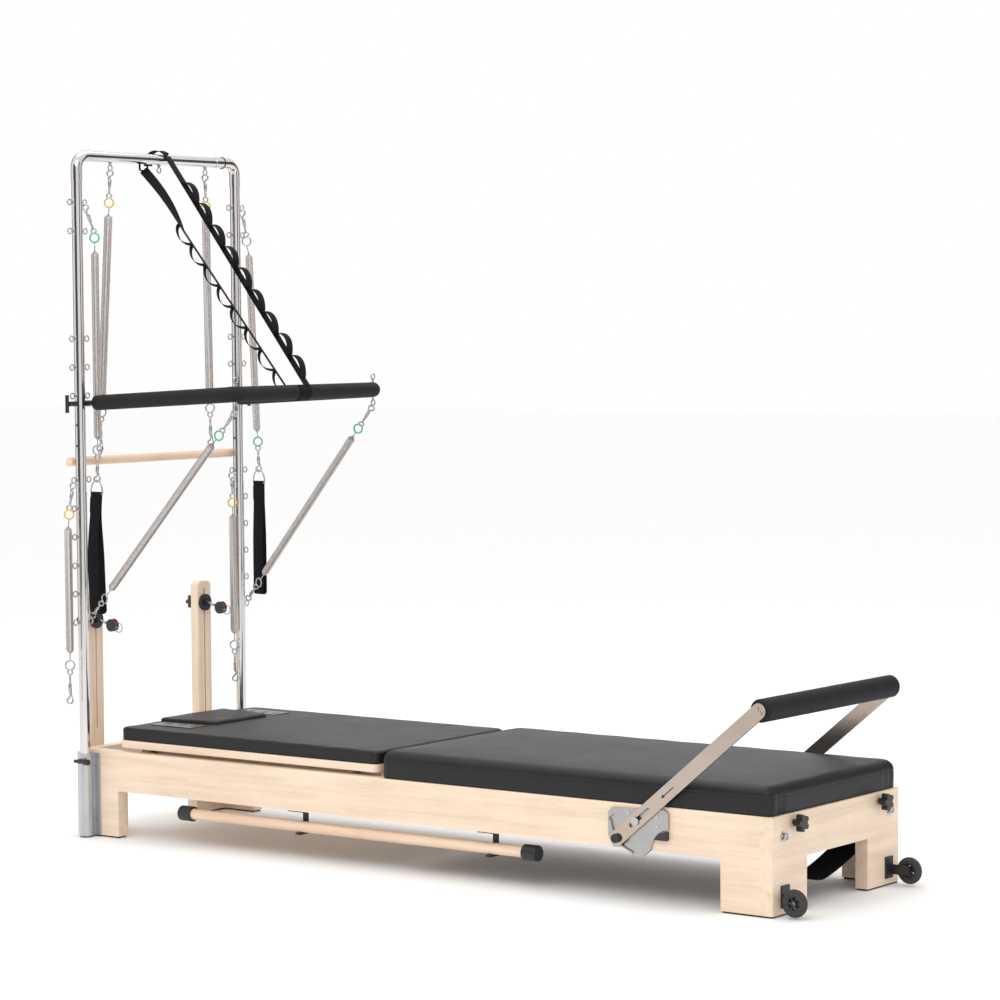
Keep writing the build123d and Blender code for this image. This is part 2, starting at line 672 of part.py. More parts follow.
def ptb_spring_high(side):
    """Hook and ring at the push-through end of a lower spring."""
    end = ptb_spring_line(side, 0)[1]
    at = [ptb_spring_line(side, end - s)[0] for s in (0, 10, 91, 104, 117, 142)]
    loop = ring(at[0], (0, 1, 0), 10, HOOK_WIRE)
    return loop + snap(at[2], at[1]) + ring(at[3], (0, 1, 0), 13.5, 2.2) + rod(at[5], at[4], 1.8)


def ptb_coil(side):
    end = ptb_spring_line(side, 0)[1]
    return rod(ptb_spring_line(side, 128)[0], ptb_spring_line(side, end - 142)[0], 11)


# ---------------------------------------------------------------- pole, dowel, sling, wheels
def pole():
    return rod((POLE[0] + 34, POLE_Y, POLE_Z), (POLE[1] - 34, POLE_Y, POLE_Z), POLE_R)


def pole_caps():
    caps = []
    for x, inner in ((POLE[0], 1), (POLE[1], -1)):
        cap = rod((x, POLE_Y, POLE_Z), (x + inner * 50, POLE_Y, POLE_Z), 23.5)
        rim = cap.edges().filter_by(GeomType.CIRCLE).sort_by(Axis.X)
        cap = fillet(rim[0] if inner > 0 else rim[-1], 5)
        caps.append(cap - rod((x + inner * 34, POLE_Y, POLE_Z), (x + inner * 51, POLE_Y, POLE_Z), POLE_R))
    return group(caps)


def pole_clips():
    """Hooks under the near rail that carry the pole."""
    clips = []
    for x in (807, 1528):
        plate = box(x - 36, x + 36, -338, -290, RAIL_BOTTOM - 4, RAIL_BOTTOM)
        stem = box(x - 9, x + 9, -298, -292, 78, RAIL_BOTTOM - 4)
        tip = box(x - 9, x + 9, -334, -292, 76, 82)
        clips.append(plate + stem + tip)
    return group(clips)


def dowel():
    """Roll-down bar with its two eye screws."""
    bar = rod((DOWEL_X, -398, DOWEL_Z), (DOWEL_X, 396, DOWEL_Z), DOWEL_R)
    return fillet(bar.edges().filter_by(GeomType.CIRCLE), 2)


def dowel_eyes():
    bolts = []
    for side in (NEAR, FAR):
        y = DOWEL_EYES[side]
        shank = rod((DOWEL_X, y, DOWEL_Z + DOWEL_R), (DOWEL_X, y, DOWEL_EYE_Z - 8), 2.2)
        bolts.append(ring((DOWEL_X, y, DOWEL_EYE_Z), (1, 0, 0), 8, 2) + shank)
    return group(bolts)


def under_sling():
    """Webbing sling that hangs between the side rails at the foot end."""
    half = [(0, 50), (86, 63), (186, 96), (254, 122), (304, 147)]
    drop = [(-y, z) for y, z in reversed(half[1:])] + half
    line = drop + [(y, z + 2.4) for y, z in reversed(drop)]
    plane = Plane(origin=(2352, 0, 0), x_dir=(0, 1, 0), z_dir=(1, 0, 0))
    return extrude(plane * make_face(Polyline(*line, close=True)), 98)


def wheel_brackets():
    brackets = []
    for side in (NEAR, FAR):
        base = box(FRAME_END, FRAME_END + 5, side * 262, side * 302, 22, 84)
        arm = box(FRAME_END + 5, WHEEL_X + 10, side * 292, side * 298, 32, 60)
        axle = rod((WHEEL_X, side * 295, WHEEL_Z), (WHEEL_X, side * 329, WHEEL_Z), AXLE_R)
        brackets.append(base + arm + axle)
    return group(brackets)


def transport_wheel(side):
    a, b = (WHEEL_X, side * 302, WHEEL_Z), (WHEEL_X, side * 326, WHEEL_Z)
    wheel = rod(a, b, WHEEL_R)
    wheel = fillet(wheel.edges().filter_by(GeomType.CIRCLE), 7)
    return wheel - rod((WHEEL_X, side * 295, WHEEL_Z), (WHEEL_X, side * 335, WHEEL_Z), AXLE_R + RUN)


os.makedirs("parts", exist_ok=True)

save(side_rail(), "side_rail_near")
save(far_side(side_rail()), "side_rail_far")
save(end_board(FRAME_END - BOARD, FRAME_END, LEG_GAP, -1), "foot_board")
save(end_board(HEAD_FACE, HEAD_FACE + BOARD, LEG_GAP, 0), "head_board")
save(foot_pads(), "foot_pads")
save(corner_post(), "corner_post_near")
save(far_side(corner_post()), "corner_post_far")
save(frame_fittings(), "frame_fittings")
save(post_clamps(), "post_clamps")
save(tracks(), "carriage_tracks")
save(upright(NEAR), "tower_upright_near")
save(upright(FAR), "tower_upright_far")
save(top_bar(), "tower_top_bar")
save(group([elbow(), far_side(elbow())]), "tower_elbows")
save(eyebolts(), "tower_eyebolts")
save(riser_posts(), "riser_posts")
save(group([riser_flanges(), star_knobs()]), "clamp_knobs")
save(pulley_block(NEAR), "pulley_block_near")
save(pulley_block(FAR), "pulley_block_far")
save(pulley_sheave(NEAR), "pulley_sheave_near")
save(pulley_sheave(FAR), "pulley_sheave_far")
save(carriage_board(), "carriage_board")
save(rollers(CARRIAGE[0] + 110), "rollers_head")
save(rollers(CARRIAGE[1] - 110), "rollers_foot")
save(carriage_pad(), "carriage_pad")
save(shoulder_sockets(), "shoulder_sockets")
save(headrest(), "headrest")
save(mat_pad(), "mat_pad")
save(footbar_plate(), "footbar_plate_near")
save(far_side(footbar_plate()), "footbar_plate_far")
save(group([footbar_bumper(), far_side(footbar_bumper())]), "footbar_bumpers")
save(footbar_bolts(), "footbar_bolts")
save(footbar_arms(), "footbar_arms")
save(footbar_grip(), "footbar_grip")
save(ptb_grip(), "ptb_grip")
save(ptb_mounts(), "ptb_mounts")
save(ptb_knobs(), "ptb_knobs")
save(ladder_strap(), "ladder_strap")
for side, label in ((NEAR, "near"), (FAR, "far")):
    save(top_spring(side), f"top_spring_{label}")
    save(arm_spring(side), f"arm_spring_{label}")
    save(arm_handle(side), f"arm_handle_{label}")
    save(leg_spring(side), f"leg_spring_{label}")
    save(ptb_coil(side), f"ptb_spring_coil_{label}")
    save(ptb_spring_low(side), f"ptb_spring_low_{label}")
    save(ptb_spring_high(side), f"ptb_spring_high_{label}")
    save(transport_wheel(side), f"transport_wheel_{label}")
save(pole(), "storage_pole")
save(pole_caps(), "pole_caps")
save(group([pole_clips(), wheel_brackets()]), "steel_brackets")
save(dowel(), "roll_down_bar")
save(dowel_eyes(), "roll_down_eyes")
save(under_sling(), "under_sling")
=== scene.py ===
import math

import bpy
import numpy as np
from mathutils import Matrix, Vector


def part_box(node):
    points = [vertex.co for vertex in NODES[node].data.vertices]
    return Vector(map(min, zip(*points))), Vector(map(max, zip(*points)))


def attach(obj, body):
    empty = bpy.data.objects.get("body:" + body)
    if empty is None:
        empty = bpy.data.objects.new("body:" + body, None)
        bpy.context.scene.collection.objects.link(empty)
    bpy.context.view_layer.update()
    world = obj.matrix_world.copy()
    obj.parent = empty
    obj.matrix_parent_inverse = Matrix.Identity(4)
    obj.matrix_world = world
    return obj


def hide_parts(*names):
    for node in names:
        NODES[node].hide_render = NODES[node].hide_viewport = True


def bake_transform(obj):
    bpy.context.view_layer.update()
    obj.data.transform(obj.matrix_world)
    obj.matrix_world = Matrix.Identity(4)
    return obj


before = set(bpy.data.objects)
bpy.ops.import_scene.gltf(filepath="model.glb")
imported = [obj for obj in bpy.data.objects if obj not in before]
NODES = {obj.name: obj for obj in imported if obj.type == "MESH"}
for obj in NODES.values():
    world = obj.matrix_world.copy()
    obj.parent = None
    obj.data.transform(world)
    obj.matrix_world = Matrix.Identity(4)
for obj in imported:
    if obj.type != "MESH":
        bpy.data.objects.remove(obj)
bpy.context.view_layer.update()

SIDES = {"near": -1, "far": 1}

# The part is laid out from the front edge of its corner posts, in millimetres; the
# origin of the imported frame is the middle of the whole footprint.
ORIGIN_X, ORIGIN_Y = 1216.5, 19.0


def at(x, y, z):
    """A point of the layout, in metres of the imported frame."""
    return Vector(((x - ORIGIN_X) / 1000, (y - ORIGIN_Y) / 1000, z / 1000))


TUBE_X = -37.75
TOP_Z = 2154.5
EYE_OUT, EYE_R = 34.0, 8.75
PTB_Z, PTB_Y, PTB_X, PTB_RISE, PTB_BEND, PTB_FOAM = 1375.5, 340.0, 585.0, 32.5, 26.0, 24.0
PTB_EYE = (579.0, 332.0, 1357.25)
PTB_START = 1.0
DOWEL_X, DOWEL_EYE_Z = -69.0, 1218.0
DOWEL_EYES = {"near": -255.0, "far": 273.0}
BOLT = (2063.0, 231.0)
ARM_ANGLE = math.radians(39.6)
ARM_LOW = -83.6
GRIP_ALONG, GRIP_R = 525.0, 32.5
WHEEL_X, WHEEL_Y, WHEEL_Z, WHEEL_R = 2552.0, 314.0, 43.0, 39.0
PULLEY_Z = {"near": 680.0, "far": 697.0}
# Ring bolts that the springs hang from, across the frame and up it.
TOP_EYE_Y = {"near": -222.0, "far": 227.0}
ARM_EYE_Y = {"near": -340.2, "far": 408.2}
LEG_EYE_Y = {"near": -408.2, "far": 340.2}
ARM_EYE_Z, LEG_EYE_Z, PUSH_EYE_Z = 1999.25, 1126.25, 693.75

rng = np.random.default_rng(7)


# ------------------------------------------------------------------ node helpers
class Graph:
    """A material being built: short names for the few nodes that it needs."""

    def __init__(self, name):
        self.material = bpy.data.materials.new(name)
        self.material.use_nodes = True
        self.tree = self.material.node_tree
        self.shader = self.tree.nodes["Principled BSDF"]

    def add(self, kind, **values):
        node = self.tree.nodes.new(kind)
        for key, value in values.items():
            setattr(node, key, value)
        return node

    def link(self, a, b):
        self.tree.links.new(a, b)

    def coords(self, scale=(1, 1, 1), turn=(0, 0, 0)):
        where = self.add("ShaderNodeTexCoord")
        mapping = self.add("ShaderNodeMapping")
        mapping.inputs["Scale"].default_value = scale
        mapping.inputs["Rotation"].default_value = turn
        self.link(where.outputs["Object"], mapping.inputs["Vector"])
        return mapping.outputs["Vector"]

    def noise(self, vector, scale, detail=4.0, rough=0.55):
        node = self.add("ShaderNodeTexNoise")
        node.inputs["Scale"].default_value = scale
        node.inputs["Detail"].default_value = detail
        node.inputs["Roughness"].default_value = rough
        self.link(vector, node.inputs["Vector"])
        return node.outputs["Fac"]

    def ramp(self, fac, stops):
        node = self.add("ShaderNodeValToRGB")
        while len(node.color_ramp.elements) < len(stops):
            node.color_ramp.elements.new(0.5)
        for element, (place, colour) in zip(node.color_ramp.elements, stops):
            element.position = place
            element.color = (*colour, 1)
        self.link(fac, node.inputs["Fac"])
        return node.outputs["Color"]

    def spread(self, fac, low, high):
        """Maps 0..1 to low..high."""
        node = self.add("ShaderNodeMapRange")
        node.inputs["To Min"].default_value = low
        node.inputs["To Max"].default_value = high
        self.link(fac, node.inputs["Value"])
        return node.outputs["Result"]

    def maths(self, operation, a, b=0.0):
        node = self.add("ShaderNodeMath", operation=operation)
        for socket, value in zip(node.inputs, (a, b)):
            if isinstance(value, (int, float)):
                socket.default_value = value
            else:
                self.link(value, socket)
        return node.outputs[0]

    def bump(self, height, strength, distance):
        node = self.add("ShaderNodeBump")
        node.inputs["Strength"].default_value = strength
        node.inputs["Distance"].default_value = distance
        self.link(height, node.inputs["Height"])
        self.link(node.outputs["Normal"], self.shader.inputs["Normal"])

    def colour(self, output):
        self.link(output, self.shader.inputs["Base Color"])

    def roughness(self, output):
        self.link(output, self.shader.inputs["Roughness"])

    def plain(self, **values):
        for key, value in values.items():
            self.shader.inputs[key.replace("_", " ")].default_value = value


# ------------------------------------------------------------------ materials
def wood(name, grain, pale=(0.84, 0.67, 0.51), dark=(0.70, 0.53, 0.38), fingers=None):
    """Lacquered maple whose grain runs along an axis; fingers marks box joints at the ends."""
    g = Graph(name)
    scale = [26.0, 26.0, 26.0]
    scale["XYZ".index(grain)] = 1.3
    v = g.coords(scale=scale)
    figure = g.noise(v, 1.6, detail=7, rough=0.6)
    fibre = g.noise(g.coords(scale=[s * 8 for s in scale]), 2.2, detail=3)
    patches = g.noise(g.coords(scale=(2.2, 2.2, 2.2)), 2.0, detail=2)
    mixed = g.maths("ADD", g.maths("MULTIPLY", figure, 0.62), g.maths("MULTIPLY", fibre, 0.24))
    mixed = g.maths("ADD", mixed, g.maths("MULTIPLY", patches, 0.20))
    if fingers:
        mixed = g.maths("SUBTRACT", mixed, finger_mask(g, *fingers))
    middle = [(a + b) / 2 for a, b in zip(pale, dark)]
    g.colour(g.ramp(mixed, [(0.38, dark), (0.48, middle), (0.58, pale), (0.80, [c * 1.05 for c in pale])]))
    g.roughness(g.spread(fibre, 0.36, 0.50))
    g.bump(fibre, 0.10, 0.0004)
    g.plain(Coat_Weight=0.25, Coat_Roughness=0.25)
    return g.material


def finger_mask(g, edges, pitch=0.0315):
    """Darker end grain of the box-joint fingers, within a board's thickness of each end."""
    where = g.add("ShaderNodeTexCoord")
    split = g.add("ShaderNodeSeparateXYZ")
    g.link(where.outputs["Object"], split.inputs[0])
    x, z = split.outputs["X"], split.outputs["Z"]
    row = g.maths("FLOORED_MODULO", g.maths("DIVIDE", z, pitch), 2.0)
    odd = g.maths("GREATER_THAN", row, 1.0)
    inside = None
    for low, high in edges:
        part = g.maths("MULTIPLY", g.maths("GREATER_THAN", x, low), g.maths("LESS_THAN", x, high))
        inside = part if inside is None else g.maths("ADD", inside, part)
    return g.maths("MULTIPLY", g.maths("MULTIPLY", inside, odd), 0.10)


def chrome(name, tint=(0.70, 0.68, 0.67), low=0.06, high=0.16):
    """Polished metal with faint smudges."""
    g = Graph(name)
    smudge = g.noise(g.coords(scale=(9, 9, 3)), 3.0, detail=5)
    g.colour(g.ramp(smudge, [(0.3, [c * 0.93 for c in tint]), (0.7, tint)]))
    g.roughness(g.spread(smudge, low, high))
    g.bump(g.noise(g.coords(scale=(400, 400, 400)), 1.0, detail=2), 0.02, 0.0002)
    g.plain(Metallic=1.0)
    return g.material


def brushed(name, tint, low, high, scale):
    """Metal with fine scratches drawn out along one direction."""
    g = Graph(name)
    lines = g.noise(g.coords(scale=scale), 3.0, detail=6, rough=0.7)
    cloud = g.noise(g.coords(scale=(8, 8, 8)), 1.5, detail=3)
    g.colour(g.ramp(cloud, [(0.3, [c * 0.9 for c in tint]), (0.7, tint)]))
    g.roughness(g.spread(lines, low, high))
    g.bump(lines, 0.06, 0.0003)
    g.plain(Metallic=1.0)
    return g.material


def vinyl(name):
    """Black upholstery vinyl with a fine pebble grain."""
    g = Graph(name)
    cells = g.add("ShaderNodeTexVoronoi", feature="SMOOTH_F1")
    cells.inputs["Scale"].default_value = 620.0
    g.link(g.coords(), cells.inputs["Vector"])
    sag = g.noise(g.coords(scale=(5, 5, 5)), 1.6, detail=3)
    g.colour(g.ramp(sag, [(0.3, (0.0045, 0.0045, 0.006)), (0.7, (0.008, 0.008, 0.010))]))
    g.roughness(g.spread(sag, 0.42, 0.55))
    waves = g.noise(g.coords(scale=(9, 4, 6)), 1.0, detail=2, rough=0.4)
    height = g.maths("ADD", g.maths("MULTIPLY", cells.outputs["Distance"], 0.10), waves)
    g.bump(height, 0.25, 0.006)
    g.plain(Specular_IOR_Level=0.42)
    return g.material


def foam(name):
    """Matt black closed-cell foam."""
    g = Graph(name)
    pores = g.noise(g.coords(scale=(900, 900, 900)), 1.0, detail=3)
    tone = g.noise(g.coords(scale=(12, 12, 12)), 1.5, detail=3)
    g.colour(g.ramp(tone, [(0.3, (0.009, 0.009, 0.011)), (0.7, (0.015, 0.015, 0.018))]))
    g.roughness(g.spread(tone, 0.62, 0.78))
    g.bump(pores, 0.30, 0.0005)
    g.plain(Specular_IOR_Level=0.28)
    return g.material


def webbing(name):
    """Close black weave: two crossing waves."""
    g = Graph(name)
    v = g.coords()
    waves = []
    for direction in ("X", "Z"):
        node = g.add("ShaderNodeTexWave", wave_type="BANDS", bands_direction=direction)
        node.inputs["Scale"].default_value = 260.0
        node.inputs["Distortion"].default_value = 0.6
        g.link(v, node.inputs["Vector"])
        waves.append(node.outputs["Fac"])
    weave = g.maths("MULTIPLY", waves[0], waves[1])
    g.colour(g.ramp(weave, [(0.0, (0.003, 0.003, 0.005)), (1.0, (0.013, 0.013, 0.018))]))
    g.roughness(g.spread(weave, 0.88, 0.70))
    g.bump(weave, 0.45, 0.0006)
    g.plain(Specular_IOR_Level=0.22)
    return g.material


def plastic(name, tint, low, high, grain=500.0):
    """Moulded or coated surface with a fine speck and a little wear."""
    g = Graph(name)
    speck = g.noise(g.coords(scale=(grain, grain, grain)), 1.0, detail=2)
    wear = g.noise(g.coords(scale=(30, 30, 30)), 1.5, detail=4)
    g.colour(g.ramp(wear, [(0.3, tint), (0.8, [min(1, c * 1.35 + 0.004) for c in tint])]))
    g.roughness(g.spread(wear, low, high))
    g.bump(speck, 0.12, 0.0003)
    return g.material


END_X = (at(2460, 0, 0).x, at(2501, 0, 0).x)
HEAD_X = (at(-96, 0, 0).x, at(-55, 0, 0).x)
MATERIALS = {
    "wood_x": wood("maple_along", "X", fingers=((END_X, HEAD_X),)),
    "wood_y": wood("maple_across", "Y"),
    "wood_z": wood("maple_upright", "Z"),
    "dowel": wood("beech_dowel", "Y", pale=(0.80, 0.58, 0.42), dark=(0.66, 0.44, 0.30)),
    "pole": wood("beech_pole", "X", pale=(0.83, 0.63, 0.47), dark=(0.70, 0.49, 0.34)),
    "chrome": chrome("chromed_tube"),
    "bright": chrome("bright_fittings", tint=(0.50, 0.49, 0.49), low=0.12, high=0.24),
    "spring": chrome("spring_wire", tint=(0.62, 0.575, 0.55), low=0.20, high=0.30),
    "aluminium": brushed("satin_aluminium", (0.58, 0.59, 0.61), 0.34, 0.46, (300, 300, 6)),
    "arm": brushed("polished_flat_bar", (0.50, 0.42, 0.36), 0.12, 0.24, (20, 300, 20)),
    "plate": brushed("grey_plate", (0.47, 0.46, 0.45), 0.26, 0.38, (14, 300, 300)),
    "dark_plate": brushed("dark_plate", (0.11, 0.115, 0.125), 0.24, 0.36, (14, 300, 300)),
    "vinyl": vinyl("black_vinyl"),
    "foam": foam("black_foam"),
    "webbing": webbing("black_webbing"),
    "plastic": plastic("black_plastic", (0.012, 0.012, 0.013), 0.30, 0.46),
    "rubber": plastic("dark_rubber", (0.030, 0.030, 0.031), 0.62, 0.80),
    "steel": plastic("black_powder_coat", (0.014, 0.014, 0.015), 0.36, 0.50, grain=300.0),
    "red": plastic("red_sheave_plastic", (0.42, 0.07, 0.02), 0.22, 0.36),
    "green": plastic("green_ring_lacquer", (0.02, 0.40, 0.20), 0.22, 0.36),
    "yellow": plastic("yellow_ring_lacquer", (0.62, 0.38, 0.03), 0.22, 0.36),
    "hub": plastic("smoked_hub", (0.022, 0.022, 0.024), 0.12, 0.22),
    "roller": plastic("grey_roller_plastic", (0.20, 0.20, 0.21), 0.40, 0.55),
}

CAD_MATERIALS = {
    "wood_x": ["side_rail_near", "side_rail_far", "carriage_board"],
    "wood_y": ["head_board", "foot_board"],
    "wood_z": ["riser_posts"],
    "dowel": ["roll_down_bar"],
    "pole": ["storage_pole"],
    "chrome": ["tower_upright_near", "tower_upright_far", "tower_top_bar", "tower_elbows"],
    "bright": ["tower_eyebolts", "frame_fittings", "footbar_bolts", "pulley_block_near",
               "pulley_block_far", "ptb_mounts", "roll_down_eyes"],
    "aluminium": ["corner_post_near", "corner_post_far", "carriage_tracks"],
    "arm": ["footbar_arms"],
    "plate": ["footbar_plate_near", "footbar_plate_far"],
    "dark_plate": ["shoulder_sockets"],
    "plastic": ["post_clamps", "clamp_knobs", "ptb_knobs", "pole_caps"],
    "rubber": ["foot_pads", "footbar_bumpers"],
    "steel": ["steel_brackets"],
    "red": ["pulley_sheave_near", "pulley_sheave_far"],
    "roller": ["rollers_head", "rollers_foot"],
}
BEVELS = {"wood_x": 0.0015, "wood_y": 0.0015, "wood_z": 0.0012, "aluminium": 0.0006, "plate": 0.0005,
          "steel": 0.0006, "rubber": 0.0008, "arm": 0.0006}


def dress_cad_nodes():
    """Materials, soft shading and eased edges on the CAD nodes that stay visible."""
    for look, names in CAD_MATERIALS.items():
        for name in names:
            node = NODES[name]
            node.data.materials.clear()
            node.data.materials.append(MATERIALS[look])
            node.data.shade_smooth()
            node.data.set_sharp_from_angle(angle=math.radians(32))
            if look in BEVELS:
                edge = node.modifiers.new("edge", "BEVEL")
                edge.width = BEVELS[look]
                edge.segments = 2
                edge.limit_method = "ANGLE"
                edge.angle_limit = math.radians(50)
    paint_faces("footbar_arms", "plastic", lambda c: near_line(c, arm_place(ARM_LOW), 13.6))
    for label, sign in SIDES.items():
        hub = at(-80 + 60 * math.cos(math.radians(14)), sign * 259,
                 PULLEY_Z[label] - 60 * math.sin(math.radians(14)))
        paint_faces(f"pulley_block_{label}", "plastic",
                    lambda c: near_line(c, hub, 20.6) and abs(c.y - hub.y) > 0.0055)
    paint_faces("ptb_mounts", "steel", lambda c: c.x < at(60, 0, 0).x)


def arm_place(along, across=0.0):
    """Point in the plane of the footbar arms, at a distance along an arm from its pivot."""
    x = BOLT[0] + along * math.cos(ARM_ANGLE) - across * math.sin(ARM_ANGLE)
    z = BOLT[1] + along * math.sin(ARM_ANGLE) + across * math.cos(ARM_ANGLE)
    return at(x, 0, z)


def near_line(centre, place, reach):
    """Whether a point is within a reach of the line through a place along Y."""
    return math.hypot(centre.x - place.x, centre.z - place.z) < reach / 1000


def paint_faces(name, look, chosen):
    """Gives a node's faces a second material where all their corners are chosen."""
    mesh = NODES[name].data
    mesh.materials.append(MATERIALS[look])
    for face in mesh.polygons:
        if all(chosen(mesh.vertices[v].co) for v in face.vertices):
            face.material_index = len(mesh.materials) - 1


# ------------------------------------------------------------------ mesh helpers
def new_piece(name, verts, faces, look, body=None, replaces=(), slot=None, smooth=True):
    """A mesh object with its material, the body that it rides on and the nodes it stands for."""
    mesh = bpy.data.meshes.new(name)
    mesh.from_pydata([tuple(v) for v in verts], [], faces)
    mesh.validate()
    if smooth:
        mesh.shade_smooth()
    piece = bpy.data.objects.new(name, mesh)
    bpy.context.scene.collection.objects.link(piece)
    piece.data.materials.append(MATERIALS[look])
    if body:
        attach(piece, body)
    if replaces:
        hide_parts(*replaces)
    return piece


class Parts:
    """Collects vertices and faces of several closed shells that make one piece."""

    def __init__(self):
        self.verts, self.faces = [], []

    def add(self, verts, faces):
        base = len(self.verts)
        self.verts += [tuple(v) for v in verts]
        self.faces += [tuple(base + i for i in f) for f in faces]
        return self

    def piece(self, name, look, body=None, **rest):
        return new_piece(name, self.verts, self.faces, look, body, **rest)


def frames_along(points, closed=False):
    """Tangent and two side directions at each point, turning as little as possible."""
    p = np.array([tuple(q) for q in points], float)
    if closed:
        tangents = np.roll(p, -1, 0) - np.roll(p, 1, 0)
    else:
        tangents = np.gradient(p, axis=0)
    tangents /= np.linalg.norm(tangents, axis=1)[:, None]
    first = np.cross(tangents[0], (0, 0, 1.0))
    if np.linalg.norm(first) < 0.1:
        first = np.cross(tangents[0], (0, 1.0, 0))
    sides = [first / np.linalg.norm(first)]
    for t in tangents[1:]:
        side = sides[-1] - t * (sides[-1] @ t)
        sides.append(side / np.linalg.norm(side))
    sides = np.array(sides)
    return p, tangents, sides, np.cross(tangents, sides)


def tube(points, radius, around=10, closed=False):
    """Round bar through the points; radius is one number or one per point."""
    p, _, a, b = frames_along(points, closed)
    radius = np.broadcast_to(np.asarray(radius, float), (len(p),))
    turn = np.linspace(0, 2 * math.pi, around, endpoint=False)
    ring = np.cos(turn)[None, :, None] * a[:, None] + np.sin(turn)[None, :, None] * b[:, None]
    verts = (p[:, None] + ring * radius[:, None, None]).reshape(-1, 3)
    faces = []
    for i in range(len(p) if closed else len(p) - 1):
        j = (i + 1) % len(p)
        for k in range(around):
            n = (k + 1) % around
            faces.append((i * around + k, i * around + n, j * around + n, j * around + k))
    if not closed:
        faces.append(tuple(reversed(range(around))))
        faces.append(tuple((len(p) - 1) * around + k for k in range(around)))
    return verts, faces


def ribbon(points, across, width, thick, closed=False):
    """Flat webbing along the points, its width along a direction."""
    p, t, _, _ = frames_along(points, closed)
    wide = np.tile(np.array(tuple(across), float), (len(p), 1))
    wide -= t * np.sum(wide * t, 1)[:, None]
    wide /= np.linalg.norm(wide, axis=1)[:, None]
    return swept_webbing(p, wide, np.cross(t, wide), width, thick, closed)


def swept_webbing(p, wide, up, width, thick, closed=False):
    """Closed skin of a strip with soft edges."""
    outline = [(-1, -0.6), (-0.94, -1), (0.94, -1), (1, -0.6), (1, 0.6), (0.94, 1), (-0.94, 1), (-1, 0.6)]
    skin = [p + wide * (width / 2 * u) + up * (thick / 2 * v) for u, v in outline]
    verts = np.stack(skin, 1).reshape(-1, 3)
    n = len(outline)
    faces = []
    for i in range(len(p) if closed else len(p) - 1):
        j = (i + 1) % len(p)
        for k in range(n):
            m = (k + 1) % n
            faces.append((i * n + k, i * n + m, j * n + m, j * n + k))
    if not closed:
        faces.append(tuple(reversed(range(n))))
        faces.append(tuple((len(p) - 1) * n + k for k in range(n)))
    return verts, faces


def circle(centre, axis, radius, count=28):
    """Points round a circle, square to an axis."""
    axis = Vector(axis).normalized()
    side = axis.orthogonal().normalized()
    up = axis.cross(side)
    turns = [2 * math.pi * k / count for k in range(count)]
    return [Vector(centre) + (side * math.cos(a) + up * math.sin(a)) * radius for a in turns]


def hoop(centre, axis, radius, wire):
    """Ring of round wire."""
    return tube(circle(centre, axis, radius), wire, 10, closed=True)


# ------------------------------------------------------------------ springs
WIRE = 0.0017
COIL_R = 0.0123
# The loose links hang turned towards the near foot-end side.
FACING = Vector((-0.60, 0.80, 0.0))


def coil(a, b, radius=COIL_R, wire=WIRE, per_turn=12, around=6):
    """Close-wound helix from a to b, drawn in at both ends; its drawn wire is oval."""
    a, b = Vector(a), Vector(b)
    length = (b - a).length
    turns = max(4, round(length / (wire * 2.06)))
    count = turns * per_turn
    axis = np.array(tuple((b - a).normalized()))
    side = np.array(tuple(Vector(axis).orthogonal().normalized()))
    up = np.cross(axis, side)
    i = np.arange(count + 1)
    turn = 2 * math.pi * i / per_turn
    end = np.minimum(np.minimum(i, count - i) / (3.2 * per_turn), 1.0)
    r = (radius - wire * 0.6) * (0.30 + 0.70 * np.sin(end * math.pi / 2))
    out = np.cos(turn)[:, None] * side + np.sin(turn)[:, None] * up
    spine = np.array(tuple(a)) + axis * (length * i / count)[:, None] + out * r[:, None]
    angle = 2 * math.pi * np.arange(around) / around
    ring = out[:, None] * (0.6 * wire * np.cos(angle))[None, :, None]
    ring = ring + axis * (wire * np.sin(angle))[None, :, None]
    verts = (spine[:, None] + ring).reshape(-1, 3)
    faces = [(k * around + m, k * around + (m + 1) % around, (k + 1) * around + (m + 1) % around,
              (k + 1) * around + m) for k in range(count) for m in range(around)]
    faces.append(tuple(reversed(range(around))))
    faces.append(tuple(count * around + m for m in range(around)))
    return verts, faces


def snap_hook(parts, a, b):
    """Bolt snap: the hook loop is at a, its long barrel and swivel eye lead to b."""
    a, b = Vector(a), Vector(b)
    axis = (b - a).normalized()
    length = (b - a).length
    side = axis.cross(FACING)
    side = side.normalized() if side.length > 0.2 else Vector((1, 0, 0))
    hook = []
    for k in range(21):
        turn = math.pi * (-0.66 + 1.56 * k / 20)
        hook.append(a + side * (0.0092 * math.sin(turn)) - axis * (0.0085 * math.cos(turn) - 0.0078))
    neck = a + axis * max(0.021, length * 0.30)
    hook += [neck - axis * 0.003 - side * 0.003, neck]
    parts.add(*tube(hook, 0.0028, 8))
    parts.add(*tube([hook[0], neck - side * 0.0045, neck + axis * 0.004], 0.0019, 8))
    barrel = [neck - axis * 0.001, neck + axis * length * 0.05, neck + axis * length * 0.26,
              neck + axis * length * 0.33]
    parts.add(*tube(barrel, [0.0040, 0.0058, 0.0054, 0.0034], 12))
    eye_at = b - axis * 0.0078
    parts.add(*tube([neck + axis * length * 0.30, eye_at - axis * 0.0070], 0.0034, 8))
    parts.add(*hoop(eye_at, side.cross(axis), 0.0076, 0.0025))


def end_loop(parts, tip, ring_edge):
    """Drawn-in wire that joins the end of a coil to its ring."""
    parts.add(*tube([tip, (Vector(tip) + Vector(ring_edge)) / 2, ring_edge], 0.0018, 8))


RING_R, RING_WIRE = 0.0143, 0.0025


